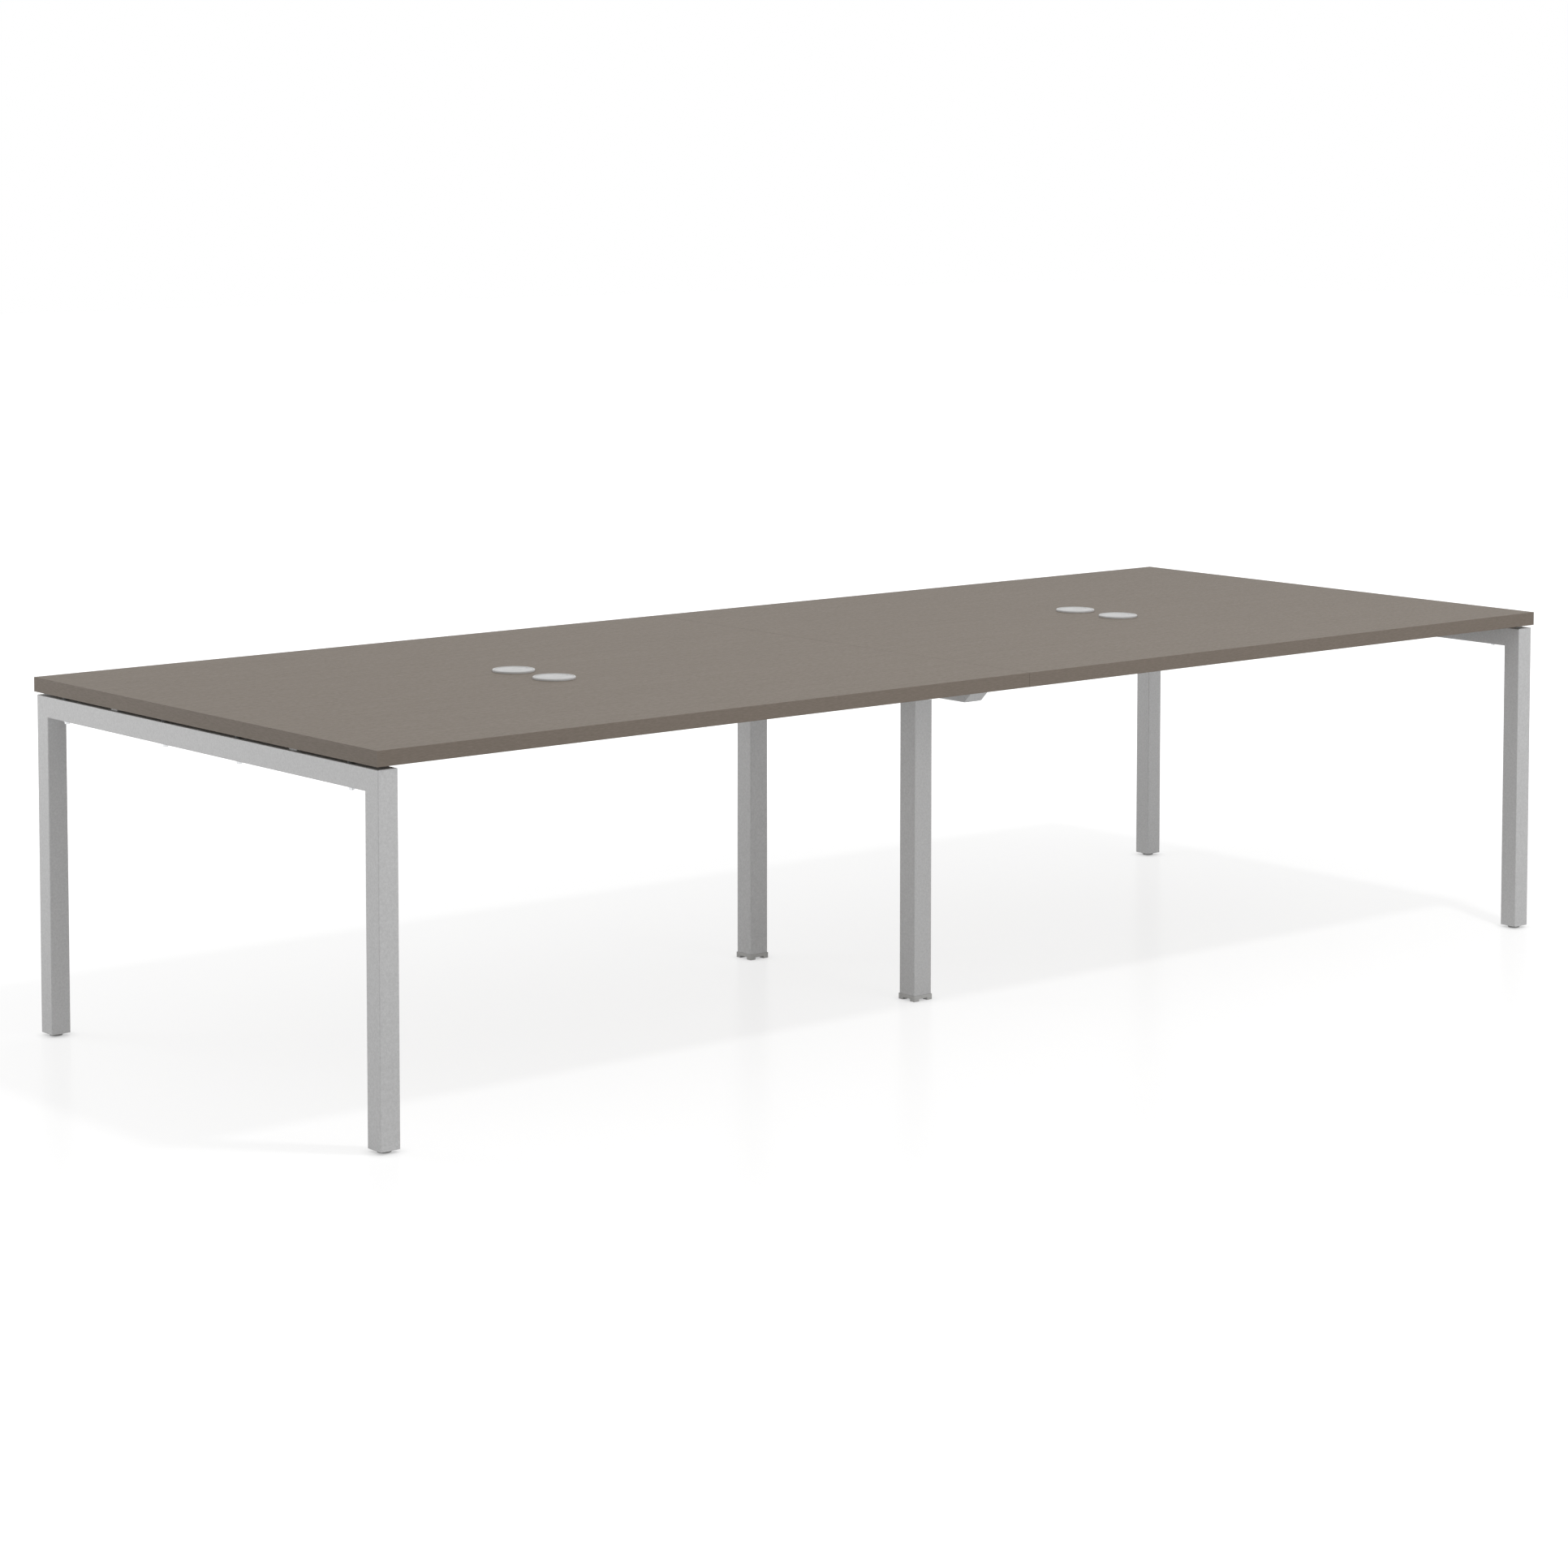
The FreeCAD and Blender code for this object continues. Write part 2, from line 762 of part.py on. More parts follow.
def leg_plugs():
    """A plastic plug in each end leg's foot and the threaded bush in it."""
    plugs = []
    bushes = []
    size = end_tube - end_wall * 2
    bush_bore = thread_width / 2 + thread_play
    bush_radius = bush_bore + bush_wall
    for sign, word in ENDS:
        for side, side_word in SIDES:
            name = "plug_" + word + "_" + side_word
            body = new_body(name)
            outline = new_sketch(body, "XY_Plane", name + "_outline")
            draw_rectangle(outline, size, size)
            add_pad(body, outline, plug_height)
            hole = new_sketch(body, "XY_Plane", name + "_hole")
            draw_circle(hole, 0, 0, bush_radius + bush_play)
            cut_through(body, hole)
            bush = ring_solid("bush_" + word + "_" + side_word, bush_bore, bush_radius, plug_height)
            for item in (body, bush):
                place(item, x=rail_middle_x * sign, y=leg_middle_y * side, z=foot_gap)
            plugs.append(body)
            bushes.append(bush)
    finished_group("leg_plugs", plugs)
    finished_group("leg_bushes", bushes)


def glide(sign, word, side, side_word):
    """A levelling glide: a pad on the floor and a threaded stem that turns in the leg's bush."""
    name = word + "_" + side_word + "_glide"
    radius = glide_width / 2
    hole = thread_width / 2 + thread_play
    pad = turned(name + "_pad", [(0, 0), (radius - glide_edge, 0), (radius, glide_edge),
                                 (radius, foot_gap - glide_edge), (radius - glide_edge, foot_gap),
                                 (hole, foot_gap), (hole, glide_floor), (0, glide_floor)])
    stem = cylinder_solid(name + "_stem", thread_width / 2, foot_gap - glide_floor + stem_reach)
    place(pad, x=rail_middle_x * sign, y=leg_middle_y * side)
    place(stem, x=rail_middle_x * sign, y=leg_middle_y * side, z=glide_floor)
    finished(pad, name + "_pad")
    finished(stem, name + "_stem")


# Fasteners

insert_bore = screw_width / 2 + insert_play
insert_radius = insert_bore + insert_wall


def worktop_inserts(sign, word):
    """Threaded inserts in the underside of a worktop."""
    inserts = []
    for number, (x, y) in enumerate(screw_places(sign)):
        insert = ring_solid(word + "_insert_" + str(number), insert_bore, insert_radius, insert_length)
        inserts.append(place(insert, x=x, y=y, z=worktop_underside))
    finished_group(word + "_worktop_inserts", inserts)


def worktop_screw(name, length):
    """A screw with a flanged socket head. Z 0 is the face its flange presses on."""
    shank = cylinder_solid(name + "_shank", screw_width / 2, length)
    flange = cylinder_solid(name + "_flange", screw_flange / 2, screw_flange_height)
    place(flange, z=-screw_flange_height)
    head = cone_solid(name + "_head", screw_head / 2 - screw_head_taper, screw_head / 2, screw_head_height)
    place(head, z=-(screw_flange_height + screw_head_height))
    socket = hexagon_solid(name + "_socket", screw_socket, screw_head_height / 2 + past)
    place(socket, z=-(screw_flange_height + screw_head_height + past))
    return cut_from(name, fused(name + "_whole", [shank, flange, head]), socket)


def worktop_screws():
    """Screws up into the worktops: right through the end rails, and from inside the cross beam."""
    cross_screws = []
    for sign, word in ENDS:
        rail_screws = []
        for number, (x, y) in enumerate(screw_places(sign)):
            bottom = frame_top - (end_tube if on_rail(x) else cross_wall)
            screw = worktop_screw(word + "_screw_" + str(number), worktop_underside - bottom + screw_bite)
            place(screw, x=x, y=y, z=bottom)
            (rail_screws if on_rail(x) else cross_screws).append(screw)
        finished_group(word + "_rail_screws", rail_screws)
    finished_group("cross_beam_screws", cross_screws)


def rail_spacers(sign, word):
    """Rings round the screws of one rail, as high as the tongues, that hold the worktop off the rail."""
    rings = []
    for number, (x, y) in enumerate(screw_places(sign)):
        if on_rail(x):
            name = word + "_spacer_" + str(number)
            ring = ring_solid(name, screw_width / 2 + screw_play, spacer_width / 2, tongue_thickness)
            rings.append(place(ring, x=x, y=y, z=frame_top))
    finished_group(word + "_rail_spacers", rings)


def hexagon_nut(name, across_flats, bore_radius, height):
    bore = cylinder_solid(name + "_bore", bore_radius, height + past * 2)
    place(bore, z=-past)
    return cut_from(name, hexagon_solid(name + "_outside", across_flats, height), bore)


def tongue(name, length, screw_from_tip):
    """A flat bar from X 0 at its tip, with a sunk hole for its screw."""
    bar = box_solid(name + "_bar", length, tongue_width, tongue_thickness)
    place(bar, y=-tongue_width / 2)
    hole_radius = screw_width / 2 + screw_play
    hole = cylinder_solid(name + "_hole", hole_radius, tongue_thickness + past * 2)
    place(hole, x=screw_from_tip, z=-past)
    sink = cone_solid(name + "_sink", hole_radius, hole_radius + sunk_depth + past, sunk_depth + past)
    place(sink, x=screw_from_tip, z=tongue_thickness - sunk_depth)
    return cut_from(name, bar, fused(name + "_sunk_hole", [hole, sink]))


def sunk_screw(name):
    """A countersunk screw with its flat head up at Z 0."""
    head = cone_solid(name + "_head", screw_width / 2, screw_width / 2 + sunk_depth, sunk_depth)
    place(head, z=-sunk_depth)
    shank = cylinder_solid(name + "_shank", screw_width / 2, tongue_screw_length - sunk_depth)
    place(shank, z=-tongue_screw_length)
    return fused(name, [head, shank])


def tongues():
    """The flat bars on the side beams' ends, their screws, and the nuts inside the rails and cross beam."""
    rail_tongues = []
    cross_tongues = []
    screws = []
    nuts = []
    nut_bore = screw_width / 2 + insert_play
    rail_tip = frame_length / 2 - tongue_setback
    rail_length = rail_tip - rail_inner_x + side_beam_play + tongue_lap
    cross_length = cross_width / 2 - tongue_tip_gap + side_beam_play + tongue_lap
    for sign, word in ENDS:
        for side, side_word in SIDES:
            name = word + "_" + side_word
            y = side_beam_offset * side
            at_rail = tongue("rail_tongue_" + name, rail_length, rail_tip - rail_middle_x)
            at_cross = tongue("cross_tongue_" + name, cross_length, tongue_screw_x - tongue_tip_gap)
            place(at_rail, x=rail_tip * sign, y=y, z=frame_top, turn=180 if sign > 0 else 0)
            place(at_cross, x=tongue_tip_gap * sign, y=y, z=frame_top, turn=0 if sign > 0 else 180)
            rail_tongues.append(at_rail)
            cross_tongues.append(at_cross)
            for spot, x, wall in (("rail", rail_middle_x, end_wall), ("cross", tongue_screw_x, cross_wall)):
                screw = sunk_screw(spot + "_tongue_screw_" + name)
                nut = hexagon_nut(spot + "_tongue_nut_" + name, nut_hex, nut_bore, nut_height)
                screws.append(place(screw, x=x * sign, y=y, z=worktop_underside - sunk_drop))
                nuts.append(place(nut, x=x * sign, y=y, z=frame_top - wall - nut_height))
    finished_group("rail_tongues", rail_tongues)
    finished_group("cross_beam_tongues", cross_tongues)
    finished_group("tongue_screws", screws)
    finished_group("tongue_nuts", nuts)


def head_bolts():
    """Bolts up through the head plates into nuts inside the cross beam."""
    bolts = []
    nuts = []
    for side, side_word in SIDES:
        for step in (-1, 1):
            name = side_word + ("_inner" if step < 0 else "_outer")
            y = (middle_offset + head_bolt_offset * step) * side
            head = hexagon_solid("head_bolt_head_" + name, bolt_hex, bolt_head_height)
            place(head, z=-bolt_head_height)
            grip = head_plate_thickness + cross_wall + bolt_nut_height
            shank = cylinder_solid("head_bolt_shank_" + name, bolt_width / 2, grip + bolt_past_nut)
            bolt = fused("head_bolt_" + name, [head, shank])
            nut = hexagon_nut("head_nut_" + name, bolt_hex, bolt_width / 2 + insert_play, bolt_nut_height)
            bolts.append(place(bolt, y=y, z=middle_leg_head))
            nuts.append(place(nut, y=y, z=cross_bottom + cross_wall))
    finished_group("middle_leg_bolts", bolts)
    finished_group("middle_leg_nuts", nuts)


# Cable outlets


def outlet_liner(name):
    """The sleeve in the worktop with a flange on top and a seat for the lid. Z 0 is the worktop's face."""
    outside = outlet_hole / 2 - liner_play
    rim = outlet_hole / 2 + flange_lip
    seat = liner_bore + seat_width
    return turned(name, [(liner_bore, -liner_depth), (outside, -liner_depth), (outside, 0), (rim, 0),
                         (rim, flange_height - flange_round), (rim - flange_round, flange_height),
                         (seat, flange_height), (seat, outlet_lid_seat), (liner_bore, outlet_lid_seat)])


def outlet_lid(name):
    """A disc on a skirt, with a slot for cables, holes for the flap's pin and a ledge the flap lies on."""
    edge = liner_bore + seat_width - lid_play
    body = turned(name, [(0, 0), (skirt_bore, 0), (skirt_bore, -skirt_height), (lid_skirt, -skirt_height),
                         (lid_skirt, 0), (edge, 0), (edge, lid_thickness - lid_edge),
                         (edge - lid_edge, lid_thickness), (0, lid_thickness)])
    slot = new_sketch(body, "XY_Plane", name + "_slot")
    half = slot_width / 2
    draw_outline(slot, [(slot_inner, -half), (slot_outer, -half), (slot_outer, half), (slot_inner, half)])
    cut_through(body, slot)
    pin_holes = new_sketch(body, "XZ_Plane", name + "_pin_holes")
    draw_circle(pin_holes, flap_axis, lid_thickness / 2, flap_pin / 2 + flap_pin_fit)
    cut_across(body, pin_holes, slot_width + (flap_pin_reach + flap_play) * 2)
    nick = new_sketch(body, "XY_Plane", name + "_nick", height=lid_thickness - nick_depth)
    draw_circle(nick, slot_outer, 0, nick_width / 2)
    cut_up(body, nick, nick_depth)
    ledge = new_sketch(body, "XZ_Plane", name + "_ledge")
    foot = -(ledge_gap + ledge_thickness)
    tip = slot_outer - ledge_reach
    root = slot_outer + ledge_root
    draw_outline(ledge, [(tip, foot), (root, foot), (root, 0), (slot_outer, 0), (slot_outer, -ledge_gap),
                         (tip, -ledge_gap)])
    add_pad(body, ledge, ledge_width, both_ways=True)
    return body


def outlet_flap(name):
    """The flap that fills the lid's slot: a plate, the barrel at its inner end, and the pin it turns on."""
    body = new_body(name)
    end = slot_outer - flap_play
    width = slot_width - flap_play * 2
    plate = new_sketch(body, "XZ_Plane", name + "_plate")
    draw_outline(plate, [(flap_axis, 0), (end, 0), (end, lid_thickness), (flap_axis, lid_thickness)])
    add_pad(body, plate, width, both_ways=True)
    barrel = new_sketch(body, "XZ_Plane", name + "_barrel")
    draw_circle(barrel, flap_axis, lid_thickness / 2, lid_thickness / 2)
    add_pad(body, barrel, width, both_ways=True)
    pin = new_sketch(body, "XZ_Plane", name + "_pin")
    draw_circle(pin, flap_axis, lid_thickness / 2, flap_pin / 2)
    add_pad(body, pin, slot_width + flap_pin_reach * 2, both_ways=True)
    return body


def cable_outlet(sign, word, side, side_word):
    """One cable outlet: a liner, its lid, and the flap in the lid."""
    name = word + "_" + side_word + "_outlet"
    x = worktop_middle * sign
    y = outlet_offset * side
    lid_foot = worktop_height + outlet_lid_seat
    parts = (("_liner", outlet_liner, worktop_height), ("_lid", outlet_lid, lid_foot),
             ("_flap", outlet_flap, lid_foot))
    for ending, make, z in parts:
        item = make(name + ending)
        place(item, x=x, y=y, z=z)
        finished(item, name + ending)


# The whole desk

for sign, word in ENDS:
    worktop_board(sign, word)
    worktop_edging(sign, word)
    worktop_inserts(sign, word)
    end_rail(sign, word)
    rail_spacers(sign, word)
    for side, side_word in SIDES:
        end_leg(sign, word, side, side_word)
        glide(sign, word, side, side_word)
        side_beam(sign, word, side, side_word)
        cable_outlet(sign, word, side, side_word)
leg_plugs()
worktop_screws()
tongues()
cross_beam()
cross_end_plates()
head_plates()
head_bolts()
thread_plates()
for side, side_word in SIDES:
    middle_leg(side, side_word)
    boot(side, side_word)
    levelling_bolt(side, side_word)
doc.recompute()

# Checks, then one file for each piece

for item in doc.Objects:
    if "Invalid" in item.State or "Error" in item.State:
        raise RuntimeError(item.Label + " did not build: " + str(item.State))
for item in pieces:
    if item.Shape.isNull() or not item.Shape.isValid():
        raise RuntimeError(item.Label + " has no valid shape")
os.makedirs("parts", exist_ok=True)
for item in pieces:
    item.Shape.exportStep("parts/" + item.Label + ".step")
print(len(pieces), "pieces written")
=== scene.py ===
# %% [markdown]
# A long bench desk for shared offices: two wood-grain worktops end to end, a silver-grey frame of square
# tube at each end, a middle frame under the seam, four round cable outlets and levelling feet. The desk's
# true shapes and sizes come from its CAD model. This lesson loads that model as a fixed frame, sets the
# camera and the light, gives every surface its finish, and models again those small pieces whose roundings
# and edges a plain CAD solid leaves out. All lengths are metres, with +X along the bench and +Z up.

# %% Load the desk
import bpy
import json
import math
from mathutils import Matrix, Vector


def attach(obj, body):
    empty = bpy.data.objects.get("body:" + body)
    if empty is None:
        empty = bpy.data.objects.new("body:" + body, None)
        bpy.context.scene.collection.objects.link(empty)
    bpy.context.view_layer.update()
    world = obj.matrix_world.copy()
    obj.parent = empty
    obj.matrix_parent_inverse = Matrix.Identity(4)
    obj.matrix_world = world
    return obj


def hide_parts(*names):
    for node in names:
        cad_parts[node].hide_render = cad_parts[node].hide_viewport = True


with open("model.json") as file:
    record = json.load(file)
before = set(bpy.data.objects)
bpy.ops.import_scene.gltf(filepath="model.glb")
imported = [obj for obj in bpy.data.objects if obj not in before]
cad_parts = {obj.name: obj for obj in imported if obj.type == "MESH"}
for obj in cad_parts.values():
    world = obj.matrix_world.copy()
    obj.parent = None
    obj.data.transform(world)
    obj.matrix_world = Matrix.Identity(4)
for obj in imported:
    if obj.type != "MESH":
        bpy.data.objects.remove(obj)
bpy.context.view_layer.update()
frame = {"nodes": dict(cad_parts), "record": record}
nodes = frame["nodes"]
MM = 0.001

# %% [markdown]
# The photograph was taken from the front left, a little above the worktop, with a long lens. Its upright
# legs stay upright in the picture, which means the lens was shifted down and not tilted much. A camera can
# copy that with a vertical shift. The camera here tilts a little and shifts the rest, because a large
# shift would push the desk out of the frame when the same camera looks from other sides.

# %% Camera
LENS_MM = 89.037
HEADING = 50.331
TILT_DOWN = 4.175
SHIFT_ACROSS = 0.0069
SHIFT_UP = -0.23
CAMERA_PLACE = (-5.4344, -6.3525, 1.8233)
SIGHT_REACH = 200

lens = bpy.data.cameras.new("photo_camera")
lens.lens = LENS_MM
lens.shift_x = SHIFT_ACROSS
lens.shift_y = SHIFT_UP
lens.clip_end = SIGHT_REACH
camera = bpy.data.objects.new("photo_camera", lens)
camera.location = CAMERA_PLACE
camera.rotation_euler = (math.radians(90 - TILT_DOWN), 0, math.radians(HEADING - 90))
bpy.context.scene.collection.objects.link(camera)
bpy.context.scene.camera = camera
print("camera", LENS_MM, "mm lens, heading", HEADING, "degrees from +X")

# %% [markdown]
# A material in Blender is a small graph of nodes. Three helpers keep the graphs short to read. One turns a
# colour as a painter's program writes it, an sRGB hex value, into the linear values that a shader works
# with. One adds a node, gives it its settings, and fills its inputs with plain values or with the outputs
# of other nodes. One starts a material and hands out the place on the piece, which its patterns read.

# %% Helpers for materials
def linear(hex_colour):
    """The linear colour of an sRGB hex value."""
    values = [int(hex_colour[start:start + 2], 16) / 255 for start in (1, 3, 5)]
    return [v / 12.92 if v <= 0.04045 else ((v + 0.055) / 1.055) ** 2.4 for v in values] + [1.0]


def add_node(tree, kind, inputs, **settings):
    """Adds a node with its settings, and fills its inputs with values or with other nodes' outputs."""
    made = tree.nodes.new(kind)
    for name, value in settings.items():
        setattr(made, name, value)
    for name, value in inputs.items():
        if isinstance(value, bpy.types.NodeSocket):
            tree.links.new(value, made.inputs[name])
        else:
            made.inputs[name].default_value = value
    return made


def new_material(name):
    """An empty material, its node tree, and the Object coordinates that patterns on it read."""
    material = bpy.data.materials.new(name)
    material.use_nodes = True
    tree = material.node_tree
    tree.nodes.clear()
    place = add_node(tree, "ShaderNodeTexCoord", {})
    return material, tree, place.outputs["Object"]


# A Mix node for colours has its factor at input 0, its two colours at inputs 6 and 7,
# and its result at output 2
MIX_A = 6
MIX_B = 7
MIX_RESULT = 2
print("red in linear values", [round(value, 3) for value in linear("#ff0000")])

# %% [markdown]
# The studio is a white floor under a soft dome of light, with one lamp high in front of the desk. The
# lamp's place was worked out from the worktop's shadow in the photograph: the shadow is a little larger
# than the worktop and lies behind it, so the lamp hangs near, high up and on the viewer's side. Two large
# dim panels lift the left side and the front, as in the photograph. The floor must look white, with a
# faint grey shadow. Where the camera looks at it, most of its white is its own, and a smaller share is
# light that falls on it, so the shadow stays pale. Its own white grows with the distance from the desk, so
# that the floor far behind, which the lamp hardly reaches, is as white as the floor in front. Close to a
# foot the floor sees less of the dome, and an occlusion node darkens its own white there. For the light
# that it throws back on to the desk it is a plain pale floor.

# %% Floor
FLOOR_REACH = 30
NEAR_WHITE = 0.735
FAR_WHITE = 1.0
WHITE_FROM = (4.6, 3.2)
FLOOR_LIT_SHARE = 0.345
FLOOR_GLOSS = 0.06
FOOT_SHADE_REACH = 0.025
FOOT_SHADE_DARKEST = 0.6
# The gradient falls from 1 under the desk's middle to 0 far out, and the near white holds down to this value
NEAREST = 0.6
FLOOR_ROUGHNESS = 0.22
BOUNCE_GREY = "#e6e6e6"


def looked_at(tree):
    """1 along the camera's own rays, straight, mirrored or through glass, and 0 for light that bounces."""
    path = add_node(tree, "ShaderNodeLightPath", {})
    mirrored = add_node(tree, "ShaderNodeMath",
                        {0: path.outputs["Is Glossy Ray"], 1: path.outputs["Is Transmission Ray"]},
                        operation="MAXIMUM")
    either = add_node(tree, "ShaderNodeMath", {0: path.outputs["Is Camera Ray"], 1: mirrored.outputs[0]},
                      operation="MAXIMUM")
    return either.outputs[0]


bpy.ops.object.select_all(action="DESELECT")
bpy.ops.mesh.primitive_plane_add(size=FLOOR_REACH * 2)
floor = bpy.context.object
floor.name = "studio_floor"
floor_paint, tree, place = new_material("studio_floor_paint")
bounce = add_node(tree, "ShaderNodeBsdfDiffuse", {"Color": linear(BOUNCE_GREY)})
from_desk = add_node(tree, "ShaderNodeMapping",
                     {"Vector": place, "Scale": (1 / WHITE_FROM[0], 1 / WHITE_FROM[1], 0)})
nearness = add_node(tree, "ShaderNodeTexGradient", {"Vector": from_desk.outputs[0]},
                    gradient_type="SPHERICAL")
white = add_node(tree, "ShaderNodeMapRange",
                 {"Value": nearness.outputs["Fac"], "From Min": NEAREST, "From Max": 0.0,
                  "To Min": NEAR_WHITE, "To Max": FAR_WHITE}, interpolation_type="SMOOTHSTEP")
foot_shade = add_node(tree, "ShaderNodeAmbientOcclusion", {"Distance": FOOT_SHADE_REACH})
shade = add_node(tree, "ShaderNodeMapRange",
                 {"Value": foot_shade.outputs["AO"], "To Min": FOOT_SHADE_DARKEST})
glow = add_node(tree, "ShaderNodeMath", {0: white.outputs[0], 1: shade.outputs[0]}, operation="MULTIPLY")
own = add_node(tree, "ShaderNodeEmission", {"Color": [1, 1, 1, 1], "Strength": glow.outputs[0]})
lit = add_node(tree, "ShaderNodeBsdfDiffuse", {"Color": [FLOOR_LIT_SHARE] * 3 + [1]})
gloss = add_node(tree, "ShaderNodeBsdfGlossy", {"Color": [FLOOR_GLOSS] * 3 + [1],
                                                 "Roughness": FLOOR_ROUGHNESS})
matt = add_node(tree, "ShaderNodeAddShader", {0: own.outputs[0], 1: lit.outputs[0]})
seen = add_node(tree, "ShaderNodeAddShader", {0: matt.outputs[0], 1: gloss.outputs[0]})
floor_mix = add_node(tree, "ShaderNodeMixShader",
                     {0: looked_at(tree), 1: bounce.outputs[0], 2: seen.outputs[0]})
add_node(tree, "ShaderNodeOutputMaterial", {"Surface": floor_mix.outputs[0]})
floor.data.materials.append(floor_paint)
print("floor", FLOOR_REACH * 2, "m across, white where nothing shades it")

# %% [markdown]
# The dome is the world around the scene. It is white to the eye and dimmer as a light, so that the
# background is white and the desk isn't washed out. The lamps are square and soft, and the camera doesn't
# see them.

# %% Dome and lamps
DOME_LEVEL = 0.48
WHITE_LEVEL = 1.0

dome = bpy.data.worlds.new("studio_dome")
bpy.context.scene.world = dome
dome.use_nodes = True
tree = dome.node_tree
tree.nodes.clear()
level = add_node(tree, "ShaderNodeMapRange",
                 {"Value": looked_at(tree), "To Min": DOME_LEVEL, "To Max": WHITE_LEVEL})
sky = add_node(tree, "ShaderNodeBackground", {"Color": [1, 1, 1, 1], "Strength": level.outputs[0]})
add_node(tree, "ShaderNodeOutputWorld", {"Surface": sky.outputs[0]})


def add_lamp(name, place, aim, size, power):
    """A square lamp that points from its place to its aim, and that the camera doesn't see."""
    light = bpy.data.lights.new(name, "AREA")
    light.size = size
    light.energy = power
    lamp = bpy.data.objects.new(name, light)
    lamp.location = place
    lamp.rotation_euler = (Vector(aim) - Vector(place)).to_track_quat("-Z", "Y").to_euler()
    lamp.visible_camera = False
    bpy.context.scene.collection.objects.link(lamp)


add_lamp("key_lamp", place=(0.6, -3.1, 6.5), aim=(0, 0, 0.7), size=0.5, power=101)
add_lamp("left_panel", place=(-3.6, 3.2, 1.5), aim=(-1.5, 0.3, 0.4), size=2.0, power=21)
add_lamp("front_panel", place=(1.0, -5.8, 2.4), aim=(1.2, -0.5, 0.4), size=3.0, power=36)
bpy.context.scene.view_settings.view_transform = "Standard"
print("dome level", DOME_LEVEL, "and three lamps")

# %% [markdown]
# The worktops are particle board faced with melamine: printed paper under clear resin, pressed with a fine
# wood texture. The print is a warm grey-brown wood with its grain along the bench. From the photograph's
# distance it is nearly one colour, with a fine speckle of short dark pores, faint long streaks and wide
# soft bands. Real pores are about 0.4 mm wide, too fine for the picture, so they are drawn about 2 mm
# wide. Stretched noise gives all three: the noise is squeezed across the grain and left long along it, and
# only the lengths and widths differ.

# %% Melamine wood print
PORE_LONG = 12 * MM
PORE_WIDE = 2.2 * MM
STREAK_LONG = 160 * MM
STREAK_WIDE = 5 * MM
STREAK_SHARE = 0.3
BAND_LONG = 900 * MM
BAND_WIDE = 60 * MM
# The share that each finer level of the noise adds to the one before it
FINER_SHARE = 0.62
FIGURE_SPREAD = 0.2
PORE_BROWN = "#766c60"
BAND_BROWN = "#897e73"
BAND_PALE = "#8f8479"
PORE_BUMP = 0.12
PORE_DEPTH = 0.2 * MM
PORE_ROUGHNESS = 0.58
RESIN_ROUGHNESS = 0.48
RESIN_SHEEN = 0.15
PLASTIC_IOR = 1.5


def grain(tree, place, long, wide, detail):
    """Noise as the grain of wood along X: this long along it and this wide across it."""
    squeezed = add_node(tree, "ShaderNodeMapping",
                        {"Vector": place, "Scale": (1 / long, 1 / wide, 1 / wide)})
    made = add_node(tree, "ShaderNodeTexNoise", {"Vector": squeezed.outputs[0], "Scale": 1.0,
                                                 "Detail": detail, "Roughness": FINER_SHARE})
    return made.outputs["Fac"]


melamine, tree, place = new_material("melamine_wood_print")
pores = grain(tree, place, PORE_LONG, PORE_WIDE, detail=4.0)
streaks = grain(tree, place, STREAK_LONG, STREAK_WIDE, detail=2.0)
bands = grain(tree, place, BAND_LONG, BAND_WIDE, detail=2.0)
figure = add_node(tree, "ShaderNodeMath", {0: streaks, 1: STREAK_SHARE, 2: pores},
                  operation="MULTIPLY_ADD")
figure_middle = 0.5 + STREAK_SHARE / 2
figure_range = add_node(tree, "ShaderNodeMapRange",
                        {"Value": figure.outputs[0], "From Min": figure_middle - FIGURE_SPREAD,
                         "From Max": figure_middle + FIGURE_SPREAD})
band_colour = add_node(tree, "ShaderNodeMix", {0: bands, MIX_A: linear(BAND_BROWN), MIX_B: linear(BAND_PALE)},
                       data_type="RGBA")
print_colour = add_node(tree, "ShaderNodeMix", {0: figure_range.outputs[0], MIX_A: linear(PORE_BROWN),
                                                MIX_B: band_colour.outputs[MIX_RESULT]}, data_type="RGBA")
pore_bump = add_node(tree, "ShaderNodeBump",
                     {"Height": pores, "Strength": PORE_BUMP, "Distance": PORE_DEPTH})
print_roughness = add_node(tree, "ShaderNodeMapRange",
                           {"Value": pores, "To Min": PORE_ROUGHNESS, "To Max": RESIN_ROUGHNESS})
resin = add_node(tree, "ShaderNodeBsdfPrincipled",
                 {"Base Color": print_colour.outputs[MIX_RESULT], "Roughness": print_roughness.outputs[0],
                  "IOR": PLASTIC_IOR, "Specular IOR Level": RESIN_SHEEN, "Normal": pore_bump.outputs[0]})
add_node(tree, "ShaderNodeOutputMaterial", {"Surface": resin.outputs[0]})
print("melamine pores", PORE_LONG / MM, "by", PORE_WIDE / MM, "mm")

# %% [markdown]
# The edging is a strip of ABS plastic with the same print, glued round each board. Its grain runs along
# the strip, so it turns with the worktop's corners. On the sides of the desk only height changes across
# the grain, so noise that is stretched along both X and Y and squeezed along Z draws the lines on all four
# sides with one pattern.

# %% Printed edging
EDGE_LONG = 12 * MM
EDGE_WIDE = 1.6 * MM
EDGE_BROWN = "#7a7065"
EDGE_PALE = "#867b71"
EDGE_BUMP = 0.1
EDGE_DEPTH = 0.2 * MM
EDGE_ROUGHEST = 0.6
EDGE_SMOOTHEST = 0.5
EDGE_SHEEN = 0.3
# Nearly all values of a noise lie between these two
NOISE_LOW = 0.3
NOISE_HIGH = 0.7

